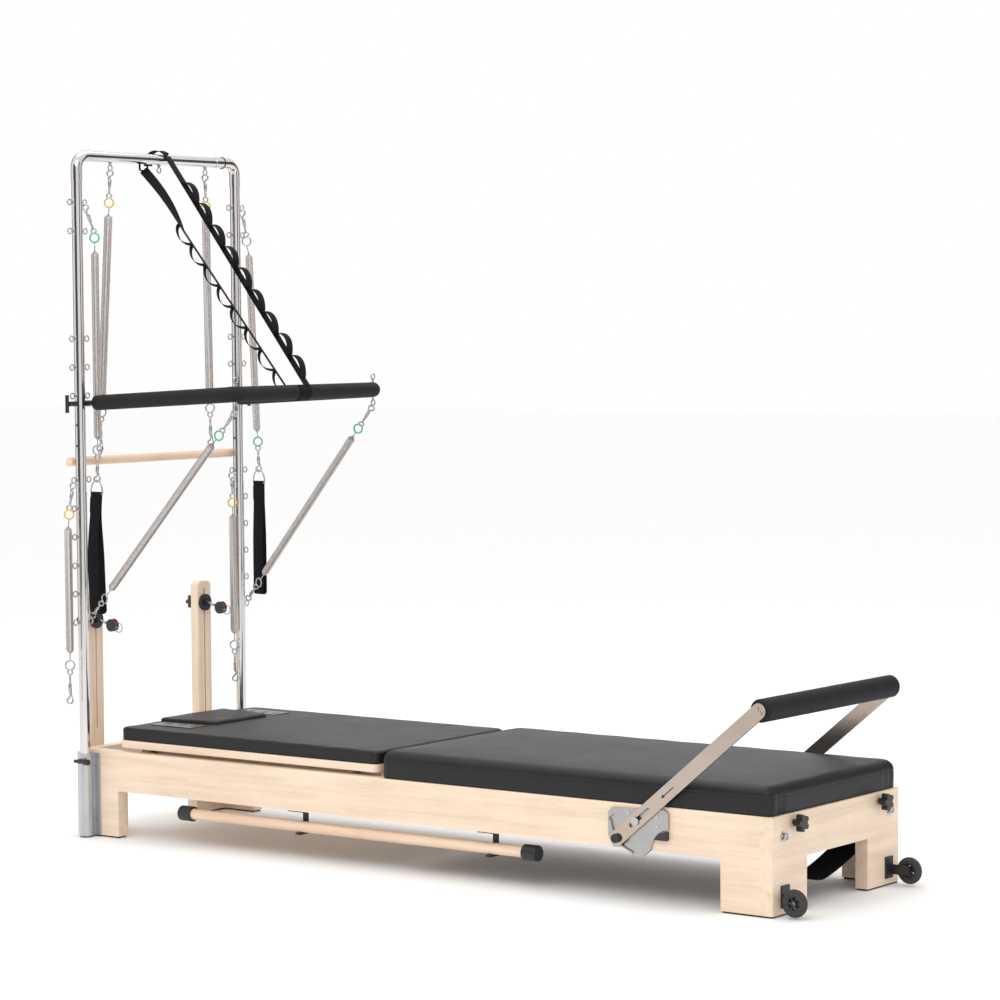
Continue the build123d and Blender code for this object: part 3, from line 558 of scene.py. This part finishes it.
def hanging_spring(name, body, stops, first_ring, last_ring, radius=COIL_R):
    """Snap hook, coloured ring, coil, plain ring and a second snap hook on one line of stops:
    top hook, ring, coil start, coil end, ring, bottom tip."""
    top, ring_a, coil_a, coil_b, ring_b, tip = [Vector(s) for s in stops]
    metal = Parts()
    reach = Vector((0, 0, RING_R))
    snap_hook(metal, top, ring_a + reach)
    end_loop(metal, coil_a, ring_a - reach)
    end_loop(metal, coil_b, ring_b + reach)
    snap_hook(metal, tip, ring_b - reach)
    new_piece(f"{name}_coil", *coil(coil_a, coil_b, radius), "spring", body, replaces=(name,),
              slot="spring_steel")
    metal.piece(f"{name}_hooks", "bright", body, slot="bright_steel")
    for label, centre, look in (("first", ring_a, first_ring), ("last", ring_b, last_ring)):
        Parts().add(*hoop(centre, FACING, RING_R, RING_WIRE)).piece(f"{name}_{label}_ring", look, body)


def along(a, b, levels):
    """Points on the line a-b at heights given in millimetres."""
    a, b = Vector(a), Vector(b)
    return [a.lerp(b, (a.z - z / 1000) / (a.z - b.z)) for z in levels]


def make_hanging_springs():
    """The springs of the roll-down bar, the arm springs and the leg springs."""
    hook_z = TOP_Z - EYE_OUT - EYE_R
    for label in SIDES:
        a = at(TUBE_X, TOP_EYE_Y[label], hook_z)
        b = at(DOWEL_X, DOWEL_EYES[label], DOWEL_EYE_Z + 3)
        stops = [a] + along(a, b, (2010, 1972, 1388, 1344)) + [b]
        hanging_spring(f"top_spring_{label}", "roll_down", stops, "yellow", "bright", radius=0.0134)

    arm_lean = {"near": (-298, -297, -297, -298, -303), "far": (430, 441, 471, 475, 478)}
    for label, lean in arm_lean.items():
        levels = (1898, 1854, 1260, 1226, 1125.5)
        stops = [at(TUBE_X, ARM_EYE_Y[label], ARM_EYE_Z)]
        stops += [at(TUBE_X, y, z) for y, z in zip(lean, levels)]
        colours = ("green", "bright") if label == "near" else ("bright", "green")
        name = f"arm_spring_{label}"
        hanging_spring(name, name, stops, *colours)

    leg_lean = {"near": ((TUBE_X,) * 5, (-431, -436, -436, -437, -440)),
                "far": ((-24, -22, -22, -22, -22), (327, 325, 325, 326, 328))}
    for label, (xs, lean) in leg_lean.items():
        levels = (1028, 988, 591, 552, 432)
        stops = [at(TUBE_X, LEG_EYE_Y[label], LEG_EYE_Z)]
        stops += [at(x, y, z) for x, y, z in zip(xs, lean, levels)]
        name = f"leg_spring_{label}"
        hanging_spring(name, name, stops, "yellow", "bright")


# Distances in metres from the hook at each end of a push-through spring: the near edge, the
# middle and the far edge of its ring, and then the start of the coil.
LOW_RING_NEAR, LOW_RING, LOW_RING_FAR, COIL_START = 0.0745, 0.088, 0.1015, 0.128
HIGH_RING_NEAR, HIGH_RING, HIGH_RING_FAR, COIL_END = 0.0905, 0.104, 0.1175, 0.142


def make_push_springs():
    """The two lower springs of the push-through bar; each coil is wound between fixed points near its two
    ends.
    """
    for label, sign in SIDES.items():
        a = at(TUBE_X, ARM_EYE_Y[label], PUSH_EYE_Z)
        b = at(PTB_EYE[0], sign * PTB_EYE[1], PTB_EYE[2])
        line = (b - a).normalized()
        low_body, high_body = f"push_spring_low_{label}", f"push_spring_high_{label}"
        wound = new_piece(f"push_coil_{label}", *coil(a + line * COIL_START, b - line * COIL_END), "spring",
                          replaces=(f"ptb_spring_coil_{label}",), slot="spring_steel")
        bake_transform(wound)
        low = Parts()
        snap_hook(low, a + line * 0.004, a + line * LOW_RING_NEAR)
        end_loop(low, a + line * LOW_RING_FAR, a + line * COIL_START)
        low.add(*hoop(a + line * LOW_RING, (0.2, 1, 0), RING_R, RING_WIRE))
        low.piece(f"push_low_hook_{label}", "bright", low_body, replaces=(f"ptb_spring_low_{label}",),
                  slot="bright_steel")
        high = Parts()
        snap_hook(high, b - line * 0.004, b - line * HIGH_RING_NEAR)
        end_loop(high, b - line * HIGH_RING_FAR, b - line * COIL_END)
        high.piece(f"push_high_hook_{label}", "bright", high_body, replaces=(f"ptb_spring_high_{label}",),
                   slot="bright_steel")
        Parts().add(*hoop(b - line * HIGH_RING, (-0.3, 1, 0), RING_R, RING_WIRE)).piece(
            f"push_ring_{label}", "green", high_body)


# ------------------------------------------------------------------ upholstery
def rounded_rectangle(lo, hi, corner, inset, count):
    """Plan outline with round corners, moved inwards by an inset."""
    x0, y0 = lo[0] + inset, lo[1] + inset
    x1, y1 = hi[0] - inset, hi[1] - inset
    r = max(min(corner - inset * 0.55, (x1 - x0) / 2 - 1e-4, (y1 - y0) / 2 - 1e-4), 0.002)
    legs = [(x1 - x0 - 2 * r), math.pi / 2 * r, (y1 - y0 - 2 * r), math.pi / 2 * r] * 2
    total = sum(legs)
    centres = [(x1 - r, y0 + r), (x1 - r, y1 - r), (x0 + r, y1 - r), (x0 + r, y0 + r)]
    starts = [(x0 + r, y0), (x1, y0 + r), (x1 - r, y1), (x0, y1 - r)]
    ways = [(1, 0), (0, 1), (-1, 0), (0, -1)]
    points = []
    for s in np.arange(count) / count * total:
        k = 0
        while s > legs[k] and k < 7:
            s -= legs[k]
            k += 1
        side = k // 2
        if k % 2 == 0:
            points.append((starts[side][0] + ways[side][0] * s, starts[side][1] + ways[side][1] * s))
        else:
            turn = -math.pi / 2 + side * math.pi / 2 + s / r
            points.append((centres[side][0] + r * math.cos(turn), centres[side][1] + r * math.sin(turn)))
    return points


def pad_rings(thick, edge, width, seams):
    """(inset, height) pairs from under the pad, up its side and over to its middle."""
    rings = [(0.04, 0.0), (0.004, 0.0), (0.0, 0.002)]
    rings += [(0.0, h) for h in np.linspace(0.006, thick - edge, 9)]
    for h in seams:
        rings += [(0.0, h - 0.0015), (0.0014, h), (0.0, h + 0.0015)]
    rings.sort(key=lambda r: (r[1], -r[0] if r[1] < 0.001 else r[0]))
    for k in range(1, 11):
        turn = math.pi / 2 * k / 10
        rings.append((edge * (1 - math.cos(turn)), thick - edge + edge * math.sin(turn)))
    last = width / 2 - 0.004
    for k in range(1, 25):
        rings.append((edge + (last - edge) * (k / 24) ** 1.35, thick))
    return rings


RIPPLE, SWELL, EDGE_BAND = 0.0006, 0.0012, 0.004


def ripple_at(x, y, inset, phase):
    """Slow waves in the cover, which fade out away from its edge."""
    calm = math.exp(-(inset / 0.09) ** 2)
    return RIPPLE * calm * math.sin(x * 41 + phase[0]) * math.sin(y * 37 + phase[1])


def tuck_at(x, y, lo, hi, inset, edge, folds):
    """How far the two folds beside the nearest corner draw the cover in."""
    nearest = min(math.hypot(x - cx, y - cy) for cx in (lo.x, hi.x) for cy in (lo.y, hi.y))
    tuck = folds * math.exp(-((nearest - 0.038) / 0.006) ** 2)
    tuck += folds * 0.7 * math.exp(-((nearest - 0.062) / 0.005) ** 2)
    return tuck * min(1.0, max(0.0, 1 - inset / (edge + 0.02)))


def drawn_in(x, y, lo, hi, tuck, bulge):
    """A point of the outline moved to the middle by a tuck, and out by its side's bulge."""
    cx, cy = (lo.x + hi.x) / 2, (lo.y + hi.y) / 2
    pull = 1 - tuck / max(math.hypot(x - cx, y - cy), 0.05)
    px = cx + (x - cx) * pull
    py = cy + (y - cy) * pull
    px += math.copysign(bulge, x - cx) if abs(abs(x - cx) - (hi.x - lo.x) / 2) < EDGE_BAND else 0.0
    py += math.copysign(bulge, y - cy) if abs(abs(y - cy) - (hi.y - lo.y) / 2) < EDGE_BAND else 0.0
    return px, py


def pad_mesh(lo, hi, corner, edge, crown, seams=(), folds=0.0, count=420):
    """Upholstered pad: crowned top, eased upper edge, faint side seams and corner folds."""
    lo, hi = Vector(lo), Vector(hi)
    thick = hi.z - lo.z - crown
    rings = pad_rings(thick, edge, min(hi.x - lo.x, hi.y - lo.y), seams)
    verts, faces = [], []
    phase = rng.uniform(0, 6.28, 2)
    for inset, height in rings:
        dome = crown * (1 - math.exp(-max(inset - edge * 0.3, 0) / 0.07))
        rise = dome if height > thick * 0.8 else 0.0
        swell = SWELL * math.sin(math.pi * min(height / max(thick, 1e-6), 1.0))
        bulge = swell if inset < EDGE_BAND else 0.0
        for x, y in rounded_rectangle(lo, hi, corner, inset, count):
            ripple = ripple_at(x, y, inset, phase) if height > thick * 0.5 else 0.0
            tuck = tuck_at(x, y, lo, hi, inset, edge, folds)
            verts.append((*drawn_in(x, y, lo, hi, tuck, bulge), lo.z + height + rise + ripple))
    for i in range(len(rings) - 1):
        for k in range(count):
            n = (k + 1) % count
            faces.append((i * count + k, i * count + n, (i + 1) * count + n, (i + 1) * count + k))
    faces.append(tuple(reversed(range(count))))
    faces.append(tuple((len(rings) - 1) * count + k for k in range(count)))
    return verts, faces


def shrink(box, by):
    """The node's box, drawn in a little so that the swelling of the cover fits."""
    lo, hi = box
    return lo + Vector((by, by, 0)), hi - Vector((by, by, 0))


def make_pads():
    """The long mat, the carriage pad and the headrest."""
    lo, hi = shrink(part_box("mat_pad"), 0.0015)
    mat = new_piece("mat_cushion", *pad_mesh(lo, hi, 0.022, 0.026, 0.010, seams=(0.050,), folds=0.0045),
                    "vinyl", "mat", replaces=("mat_pad",), slot="black_vinyl")
    lo, hi = shrink(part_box("carriage_pad"), 0.0015)
    pad = new_piece("carriage_cushion", *pad_mesh(lo, hi, 0.026, 0.010, 0.003, seams=(0.012,), folds=0.001),
                    "vinyl", "carriage", replaces=("carriage_pad",), slot="black_vinyl")
    make_headrest()


def make_headrest():
    """Padded headrest: a trapezoid in plan, narrower towards the foot end."""
    lo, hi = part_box("headrest")
    verts, faces = pad_mesh(lo, hi, 0.022, 0.008, 0.003, seams=(0.020,), folds=0.001, count=240)
    middle = (lo.y + hi.y) / 2
    tapered = []
    for x, y, z in verts:
        share = (x - lo.x) / (hi.x - lo.x)
        tapered.append((x, middle + (y - middle) * (1 - 0.17 * share), z))
    rest = new_piece("headrest_cushion", tapered, faces, "vinyl", "headrest", replaces=("headrest",),
                     slot="black_vinyl")


# ------------------------------------------------------------------ foam sleeves
def push_bar_path():
    """Centre line of the foam-covered U, with round corners."""
    rise = PTB_RISE * (0 - TUBE_X) / (PTB_X - TUBE_X)
    start, end = PTB_Z + rise, PTB_Z + PTB_RISE
    points = []
    for k in range(40):
        x = PTB_START + (PTB_X - PTB_BEND - PTB_START) * k / 39
        points.append(at(x, -PTB_Y, start + (end - start) * x / PTB_X))
    for k in range(1, 10):
        turn = math.pi / 2 * k / 10
        x = PTB_X - PTB_BEND + PTB_BEND * math.sin(turn)
        points.append(at(x, -PTB_Y + PTB_BEND * (1 - math.cos(turn)), end))
    for k in range(41):
        points.append(at(PTB_X, (-PTB_Y + PTB_BEND) * (1 - k / 20), end))
    near_side = reversed(points[:49])
    far_side = [at(p.x * 1000 + ORIGIN_X, -(p.y * 1000 + ORIGIN_Y), p.z * 1000) for p in near_side]
    return points + far_side


def make_grips():
    """Foam sleeves of the push-through bar and of the footbar."""
    path = push_bar_path()
    radius = np.full(len(path), PTB_FOAM / 1000)
    for k in (44, len(path) - 45):
        radius[k] -= 0.0012
    radius[[0, -1]] -= 0.0008
    bar = new_piece("push_bar_foam", *tube(path, radius, 36), "foam", "push_through_bar",
                    replaces=("ptb_grip",), slot="black_foam")
    x = BOLT[0] + GRIP_ALONG * math.cos(ARM_ANGLE)
    z = BOLT[1] + GRIP_ALONG * math.sin(ARM_ANGLE)
    half = 355.0
    stops = [(-half, 0.84), (-half + 1.5, 0.94), (-half + 5, 1.0)]
    stops += [(y, 1.0) for y in np.linspace(-half + 9, half - 9, 60)]
    stops += [(half - 5, 1.0), (half - 1.5, 0.94), (half, 0.84)]
    sizes = [share * GRIP_R / 1000 * (1 + 0.004 * math.sin(i * 0.9)) for i, (_, share) in enumerate(stops)]
    sizes = [min(s, GRIP_R / 1000) for s in sizes]
    grip = new_piece("footbar_foam", *tube([at(x, y, z) for y, _ in stops], sizes, 40), "foam", "footbar",
                     replaces=("footbar_grip",), slot="black_foam")


# ------------------------------------------------------------------ webbing
STRAP_WIDE, STRAP_THICK = 0.030, 0.0018
# The strap's two ends in X and Z, and the direction square to it, in the same plane.
STRAP_TOP, STRAP_LOW = (TUBE_X, TOP_Z), (PTB_X, PTB_Z + PTB_RISE)
STRAP_NORMAL = math.atan2(STRAP_LOW[1] - STRAP_TOP[1], STRAP_LOW[0] - STRAP_TOP[0]) + math.pi / 2
STRAP_X, STRAP_Z = math.cos(STRAP_NORMAL), math.sin(STRAP_NORMAL)
ALONG_BAR = Vector((0, 1, 0))
# From the axes of the top bar and of the foam to the webbing, in millimetres.
OFF_BAR, OFF_FOAM, WRAP_R = 18.5, 25.6, PTB_FOAM + 1.6


def twisted(points, acrosses, width, thick):
    """Flat webbing whose width direction turns along its run."""
    p, t, _, _ = frames_along(points)
    wide = np.array([tuple(a) for a in acrosses], float)
    wide -= t * np.sum(wide * t, 1)[:, None]
    wide /= np.linalg.norm(wide, axis=1)[:, None]
    return swept_webbing(p, wide, np.cross(t, wide), width, thick)


def sewn_loops(a, b, out, across, first, pitch, count, tall, droop):
    """Arches of webbing sewn to one side of a strand, sagging towards its lower end."""
    length = (b - a).length
    line = (b - a).normalized()
    runs = []
    for i in range(count):
        start = a + line * (first + i * pitch)
        high = tall * rng.uniform(0.86, 1.12)
        sag = droop * rng.uniform(0.8, 1.2)
        early = rng.uniform(0.72, 0.84)
        run = []
        for k in range(29):
            t = k / 28
            lift = high * math.sin(math.pi * t ** early) ** 0.8 if 0 < t < 1 else 0.0
            slide = pitch * 0.94 * t + sag * math.sin(math.pi * t)
            run.append(start + line * slide + out * (0.0024 + lift))
        assert first + (i + 1) * pitch < length
        runs.append((run, across))
    return runs


def helix_wrap(centre, gap, y0, y1, start, sweep, swell=0.0):
    """Webbing taken round a bar along Y while it moves along the bar."""
    points = []
    for k in range(33):
        t = k / 32
        turn = start + sweep * t
        r = gap + swell * math.sin(math.pi * t)
        points.append(at(centre[0] + r * math.cos(turn), y0 + (y1 - y0) * t, centre[1] + r * math.sin(turn)))
    return points


def add_upper_strand(parts):
    """Strand over the top bar, with its loops and its turn round each bar."""
    a = at(STRAP_TOP[0] + STRAP_X * OFF_BAR, 30, STRAP_TOP[1] + STRAP_Z * OFF_BAR)
    b = at(STRAP_LOW[0] + STRAP_X * OFF_FOAM, -22, STRAP_LOW[1] + STRAP_Z * OFF_FOAM)
    parts.add(*ribbon([a.lerp(b, k / 60) for k in range(61)], ALONG_BAR, STRAP_WIDE, STRAP_THICK))
    out = Vector((STRAP_X, 0, STRAP_Z))
    for run, across in sewn_loops(a, b, out, ALONG_BAR, 0.118, 0.0915, 9, 0.025, 0.004):
        parts.add(*ribbon(run, across, STRAP_WIDE * 0.94, STRAP_THICK * 0.9))
    over = helix_wrap(STRAP_TOP, OFF_BAR, 30, -42, STRAP_NORMAL, math.pi * 1.25, swell=14.0)
    parts.add(*ribbon(over, ALONG_BAR, STRAP_WIDE * 0.9, STRAP_THICK))
    under = helix_wrap(STRAP_LOW, WRAP_R, -22, -24, STRAP_NORMAL, -math.pi * 1.15)
    parts.add(*ribbon(under, ALONG_BAR, STRAP_WIDE, STRAP_THICK))


def add_lower_strand(parts, a):
    """Strand from the buckle, turned on edge as it leaves it, with its sagging loops."""
    b = at(STRAP_LOW[0] - STRAP_X * OFF_FOAM, -48, STRAP_LOW[1] - STRAP_Z * OFF_FOAM)
    line = (b - a).normalized()
    edge_on = (FACING - line * FACING.dot(line)).normalized()
    broad = line.cross(edge_on)
    strand, ways = [], []
    for k in range(81):
        s = (b - a).length * k / 80
        turn = math.pi / 2 * (1 - min(1.0, s / 0.25)) ** 0.8 + (0.10 if s > 0.25 else 0.10 * s / 0.25)
        belly = 0.010 * math.sin(math.pi * min(1.0, s / 0.26))
        strand.append(a.lerp(b, k / 80) + broad * belly)
        ways.append(edge_on * math.cos(turn) + broad * math.sin(turn))
    parts.add(*twisted(strand, ways, STRAP_WIDE, STRAP_THICK))
    out = broad if broad.z < 0 else -broad
    for run, across in sewn_loops(a, b, out, edge_on, 0.235, 0.0875, 8, 0.024, 0.010):
        parts.add(*ribbon(run, across, STRAP_WIDE * 0.9, STRAP_THICK * 0.9))
    under = helix_wrap(STRAP_LOW, WRAP_R, -48, -46, STRAP_NORMAL + math.pi, math.pi * 1.15)
    parts.add(*ribbon(under, ALONG_BAR, STRAP_WIDE, STRAP_THICK))


def add_buckle(parts, a):
    """Square buckle at the upper end of the lower strand."""
    right = Vector((0.80, 0.60, 0.0))
    middle = a + Vector((0, 0, 0.010))
    corners = [(-0.0125, 0.0125), (0.0125, 0.0125), (0.0125, -0.0125), (-0.0125, -0.0125)]
    square = [middle + right * u + Vector((0, 0, v)) for u, v in corners]
    parts.add(*ribbon(rounded(square, 4), FACING, 0.022, 0.0045, closed=True))


def make_ladder_strap():
    """Two looped strands between the top bar and the push-through bar."""
    parts = Parts()
    add_upper_strand(parts)
    start = at(STRAP_TOP[0] - STRAP_X * OFF_BAR - 2, -50, STRAP_TOP[1] - STRAP_Z * OFF_BAR - 22)
    add_lower_strand(parts, start)
    add_buckle(parts, start)
    strap = parts.piece("ladder_webbing", "webbing", replaces=("ladder_strap",), slot="black_webbing")
    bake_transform(strap)


def rounded(points, steps):
    """Closed outline through the middles of its sides, with its corners cut round."""
    out = []
    n = len(points)
    for i in range(n):
        before, here, after = points[i - 1], points[i], points[(i + 1) % n]
        a, b = before.lerp(here, 0.72), here.lerp(after, 0.28)
        for k in range(steps + 1):
            t = k / steps
            out.append((a * (1 - t) + here * t) * (1 - t) + (here * (1 - t) + b * t) * t)
    return out


HANDLE_GAP = 3.4    # half the gap between the layers where they are sewn together
HANDLE_WIDE, HANDLE_THICK = 0.042, 0.0034
D_BAR_Z, D_HALF, D_TALL, D_WIRE = 1087.0, 25, 43, 0.0023


def make_handles():
    """Webbing handles: a long loop on a D-ring, with a sewn keeper below the ring."""
    for label, y0, low, half, lean in (("near", -305.0, 706.0, 16.0, -8.0), ("far", 478.0, 712.0, 9.0, 0.0)):
        body = f"arm_handle_{label}"
        metal = Parts()
        bow = [at(TUBE_X + D_HALF * math.cos(t), y0, D_BAR_Z + D_TALL * math.sin(t) ** 0.9)
               for t in np.linspace(0, math.pi, 28)]
        metal.add(*tube(bow, D_WIRE, 10))
        bar = [at(TUBE_X + off, y0, D_BAR_Z) for off in (-D_HALF - 1, 0, D_HALF + 1)]
        metal.add(*tube(bar, D_WIRE, 10))
        metal.piece(f"handle_ring_{label}", "bright", body, slot="bright_steel")
        high = D_BAR_Z + 3.0
        drop = high - low - 8
        front = [(half_width(k / 40, half), high - drop * k / 40) for k in range(41)]
        foot = [(half * 0.9 * math.cos(t), low + 8 - 8 * math.sin(t))
                for t in np.linspace(0.15, math.pi - 0.15, 13)]
        head = [(HANDLE_GAP * math.cos(t), high + 2.2 * math.sin(t))
                for t in np.linspace(math.pi - 0.3, 0.3, 7)]
        outline = front + foot + [(-a, z) for a, z in reversed(front)] + head
        loop = Parts()
        points = [at(TUBE_X, y0 + a + lean * bow_share(z, low, high), z) for a, z in outline]
        loop.add(*ribbon(points, (1, 0, 0), HANDLE_WIDE, HANDLE_THICK, closed=True))
        keeper = []
        for z in np.linspace(high - 12, high - 62, 9):
            y = y0 + lean * bow_share(z, low, high) - half_width((high - z) / drop, half) - 2.6
            keeper.append(at(TUBE_X, y, z))
        loop.add(*ribbon(keeper, (1, 0, 0), 0.0424, 0.0018))
        loop.piece(f"handle_loop_{label}", "webbing", body, replaces=(f"arm_handle_{label}",),
                   slot="black_webbing")


def half_width(share, half):
    """Half the gap between the two layers of a handle, at a share of its height."""
    opening = math.sin(math.pi / 2 * min(1.0, max(0.0, share - 0.16) / 0.45)) ** 1.4
    return HANDLE_GAP + (half - HANDLE_GAP) * opening


def bow_share(z, low, high):
    """0 at the ends of a handle, 1 in its lower middle."""
    return math.sin(math.pi * min(1.0, max(0.0, (high - z) / (high - low))) ** 0.8)


def make_sling():
    """Webbing sling under the foot end, hung between the side rails."""
    half = 304.0
    run = [at(2401, y, 52 + 96 * (abs(y) / half) ** 1.35) for y in np.linspace(-half, half, 61)]
    new_piece("foot_sling", *ribbon(run, (1, 0, 0), 0.096, 0.0024), "webbing", "frame",
              replaces=("under_sling",), slot="black_webbing")


# ------------------------------------------------------------------ wheels
def spun(profile, centre, segments=56):
    """Solid turned about an axis along Y; profile is (radius, offset) all round its section."""
    verts, faces = [], []
    for k in range(segments):
        turn = 2 * math.pi * k / segments
        for r, off in profile:
            verts.append((centre.x + r * math.cos(turn), centre.y + off, centre.z + r * math.sin(turn)))
    n = len(profile)
    for k in range(segments):
        m = (k + 1) % segments
        for i in range(n):
            j = (i + 1) % n
            faces.append((k * n + i, k * n + j, m * n + j, m * n + i))
    return verts, faces


# Sections of the hub, as (radius, offset along the axle).
RIM = [(0.026, -0.009), (0.0275, -0.009), (0.0275, 0.009), (0.026, 0.009), (0.0235, 0.006),
       (0.0235, -0.006)]
BOSS = [(0.0042, -0.010), (0.0085, -0.010), (0.0095, -0.008), (0.0095, 0.008), (0.0085, 0.010),
        (0.0042, 0.010)]
CAP = [(0.0002, 0.0125), (0.0040, 0.0122), (0.0056, 0.0105), (0.0056, 0.0100), (0.0002, 0.0100)]


def make_wheels():
    """Transport wheels: round tyre, dished hub with six spokes and a hub cap."""
    for label, sign in SIDES.items():
        centre = at(WHEEL_X, sign * WHEEL_Y, WHEEL_Z)
        body = f"wheel_{label}"
        outer = WHEEL_R / 1000
        tyre = [(outer - 0.012 + 0.012 * math.cos(t), 0.0118 * math.sin(t))
                for t in np.linspace(-2.6, 2.6, 17)]
        wheel = Parts().add(*spun(tyre, centre))
        wheel.piece(f"wheel_tyre_{label}", "rubber", body, replaces=(f"transport_wheel_{label}",),
                    slot="wheel_rubber")
        hub = Parts()
        hub.add(*spun(RIM, centre))
        hub.add(*spun(BOSS, centre, 32))
        for k in range(6):
            turn = math.pi / 3 * k
            out = Vector((math.cos(turn), 0, math.sin(turn)))
            run = [centre + out * r for r in (0.008, 0.014, 0.020, 0.0255)]
            hub.add(*ribbon(run, (0, 1, 0), 0.012, 0.006))
        hub.piece(f"wheel_hub_{label}", "hub", body)
        nut = Parts().add(*spun([(r, sign * off) for r, off in CAP], centre, 24))
        nut.piece(f"wheel_nut_{label}", "bright", body)


def make_collar():
    """Dark sealing ring where the top bar enters the far elbow."""
    ring = Parts().add(*hoop(at(TUBE_X, 309, TOP_Z), (0, 1, 0), 0.0186, 0.0017))
    ring.piece("top_bar_collar", "plastic", "frame")


def make_arrow():
    """Plain direction arrow on the outer face of the near arm."""
    y = at(0, -361.15, 0).y
    outline = [(112, 0), (124, 6), (124, 1.6), (166, 1.6), (166, -1.6), (124, -1.6), (124, -6)]
    flat = [arm_place(u, v) for u, v in outline]
    verts = [(p.x, y, p.z) for p in flat] + [(p.x, y + 0.0003, p.z) for p in flat]
    n = len(outline)
    faces = [tuple(range(n)), tuple(reversed(range(n, 2 * n)))]
    faces += [(k, (k + 1) % n, n + (k + 1) % n, n + k) for k in range(n)]
    new_piece("arm_arrow", verts, faces, "plastic", "footbar", smooth=False)


# ------------------------------------------------------------------ stage
# Dark flags that only the polished metal sees: azimuth in degrees, and width in metres.
FLAGS = ((-98, 5.6), (3, 2.6), (62, 3.4), (170, 3.8))
FLAG_FOOT, FLAG_TOP, FLAG_AWAY = 0.2, 4.6, 6.0


def make_stage():
    """White floor and surroundings, with the flags around them."""
    size = 40.0
    verts = [(-size, -size, 0), (size, -size, 0), (size, size, 0), (-size, size, 0)]
    mesh = bpy.data.meshes.new("floor")
    mesh.from_pydata(verts, [], [(0, 1, 2, 3)])
    floor = bpy.data.objects.new("floor", mesh)
    floor.location.z = -0.0005
    bpy.context.scene.collection.objects.link(floor)
    g = Graph("floor_paint")
    g.plain(Base_Color=(0.98, 0.98, 0.98, 1), Roughness=0.7, Specular_IOR_Level=0.2)
    floor.data.materials.append(g.material)
    world = bpy.data.worlds.new("studio")
    bpy.context.scene.world = world
    world.use_nodes = True
    world.node_tree.nodes["Background"].inputs["Color"].default_value = (1, 1, 1, 1)
    world.node_tree.nodes["Background"].inputs["Strength"].default_value = 1.0
    g = Graph("flag_cloth")
    g.plain(Base_Color=(0.07, 0.06, 0.055, 1), Roughness=0.9)
    for azimuth, width in FLAGS:
        flag(math.radians(azimuth), width, g.material)


def flag(azimuth, width, cloth):
    """Upright dark sheet that faces the object and shows only in reflections."""
    out = Vector((math.cos(azimuth), math.sin(azimuth), 0))
    side = Vector((-math.sin(azimuth), math.cos(azimuth), 0)) * width / 2
    corners = ((-1, FLAG_FOOT), (1, FLAG_FOOT), (1, FLAG_TOP), (-1, FLAG_TOP))
    verts = [out * FLAG_AWAY + side * a + Vector((0, 0, z)) for a, z in corners]
    mesh = bpy.data.meshes.new("flag")
    mesh.from_pydata([tuple(v) for v in verts], [], [(0, 1, 2, 3)])
    sheet = bpy.data.objects.new("flag", mesh)
    bpy.context.scene.collection.objects.link(sheet)
    sheet.data.materials.append(cloth)
    for seen in ("camera", "diffuse", "shadow", "transmission", "volume_scatter"):
        setattr(sheet, f"visible_{seen}", False)
    return sheet


def lamp(name, place, target, size, watts):
    """Rectangular soft light, aimed at a point."""
    data = bpy.data.lights.new(name, "AREA")
    data.shape = "RECTANGLE"
    data.size, data.size_y = size
    data.energy = watts
    light = bpy.data.objects.new(name, data)
    bpy.context.scene.collection.objects.link(light)
    light.location = place
    light.rotation_euler = (Vector(target) - Vector(place)).to_track_quat("-Z", "Y").to_euler()


CAMERA_AT = (7048.93, -7660.53, 1623.51)
CAMERA_TURN = (0.641089, 0.055824, -0.008041)    # yaw, pitch and roll in radians
SENSOR = 36.0
FOCAL_SHARE = 3.19496    # focal length over sensor width


def make_camera():
    """Camera placed as the reference view has it: a long lens, a little above the frame."""
    yaw, pitch, roll = CAMERA_TURN
    forward = Vector((-math.sin(yaw) * math.cos(pitch), math.cos(yaw) * math.cos(pitch), -math.sin(pitch)))
    level = forward.cross(Vector((0, 0, 1))).normalized()
    upright = level.cross(forward)
    right = level * math.cos(roll) + upright * math.sin(roll)
    up = upright * math.cos(roll) - level * math.sin(roll)
    data = bpy.data.cameras.new("camera")
    data.sensor_width = SENSOR
    data.lens = FOCAL_SHARE * SENSOR
    data.clip_end = 200.0
    camera = bpy.data.objects.new("camera", data)
    bpy.context.scene.collection.objects.link(camera)
    turn = Matrix((right, up, -forward)).transposed().to_4x4()
    camera.matrix_world = Matrix.Translation(at(*CAMERA_AT)) @ turn
    bpy.context.scene.camera = camera


bpy.context.scene.view_settings.view_transform = "Standard"
make_camera()
make_stage()
lamp("key", (1.5, -4.5, 4.8), (0, 0, 0.6), (4, 3), 75)
lamp("top", (-1.0, 0.5, 5.2), (0, 0, 0.6), (4, 3), 75)
dress_cad_nodes()
make_hanging_springs()
make_push_springs()
make_pads()
make_grips()
make_ladder_strap()
make_handles()
make_sling()
make_wheels()
make_arrow()
make_collar()
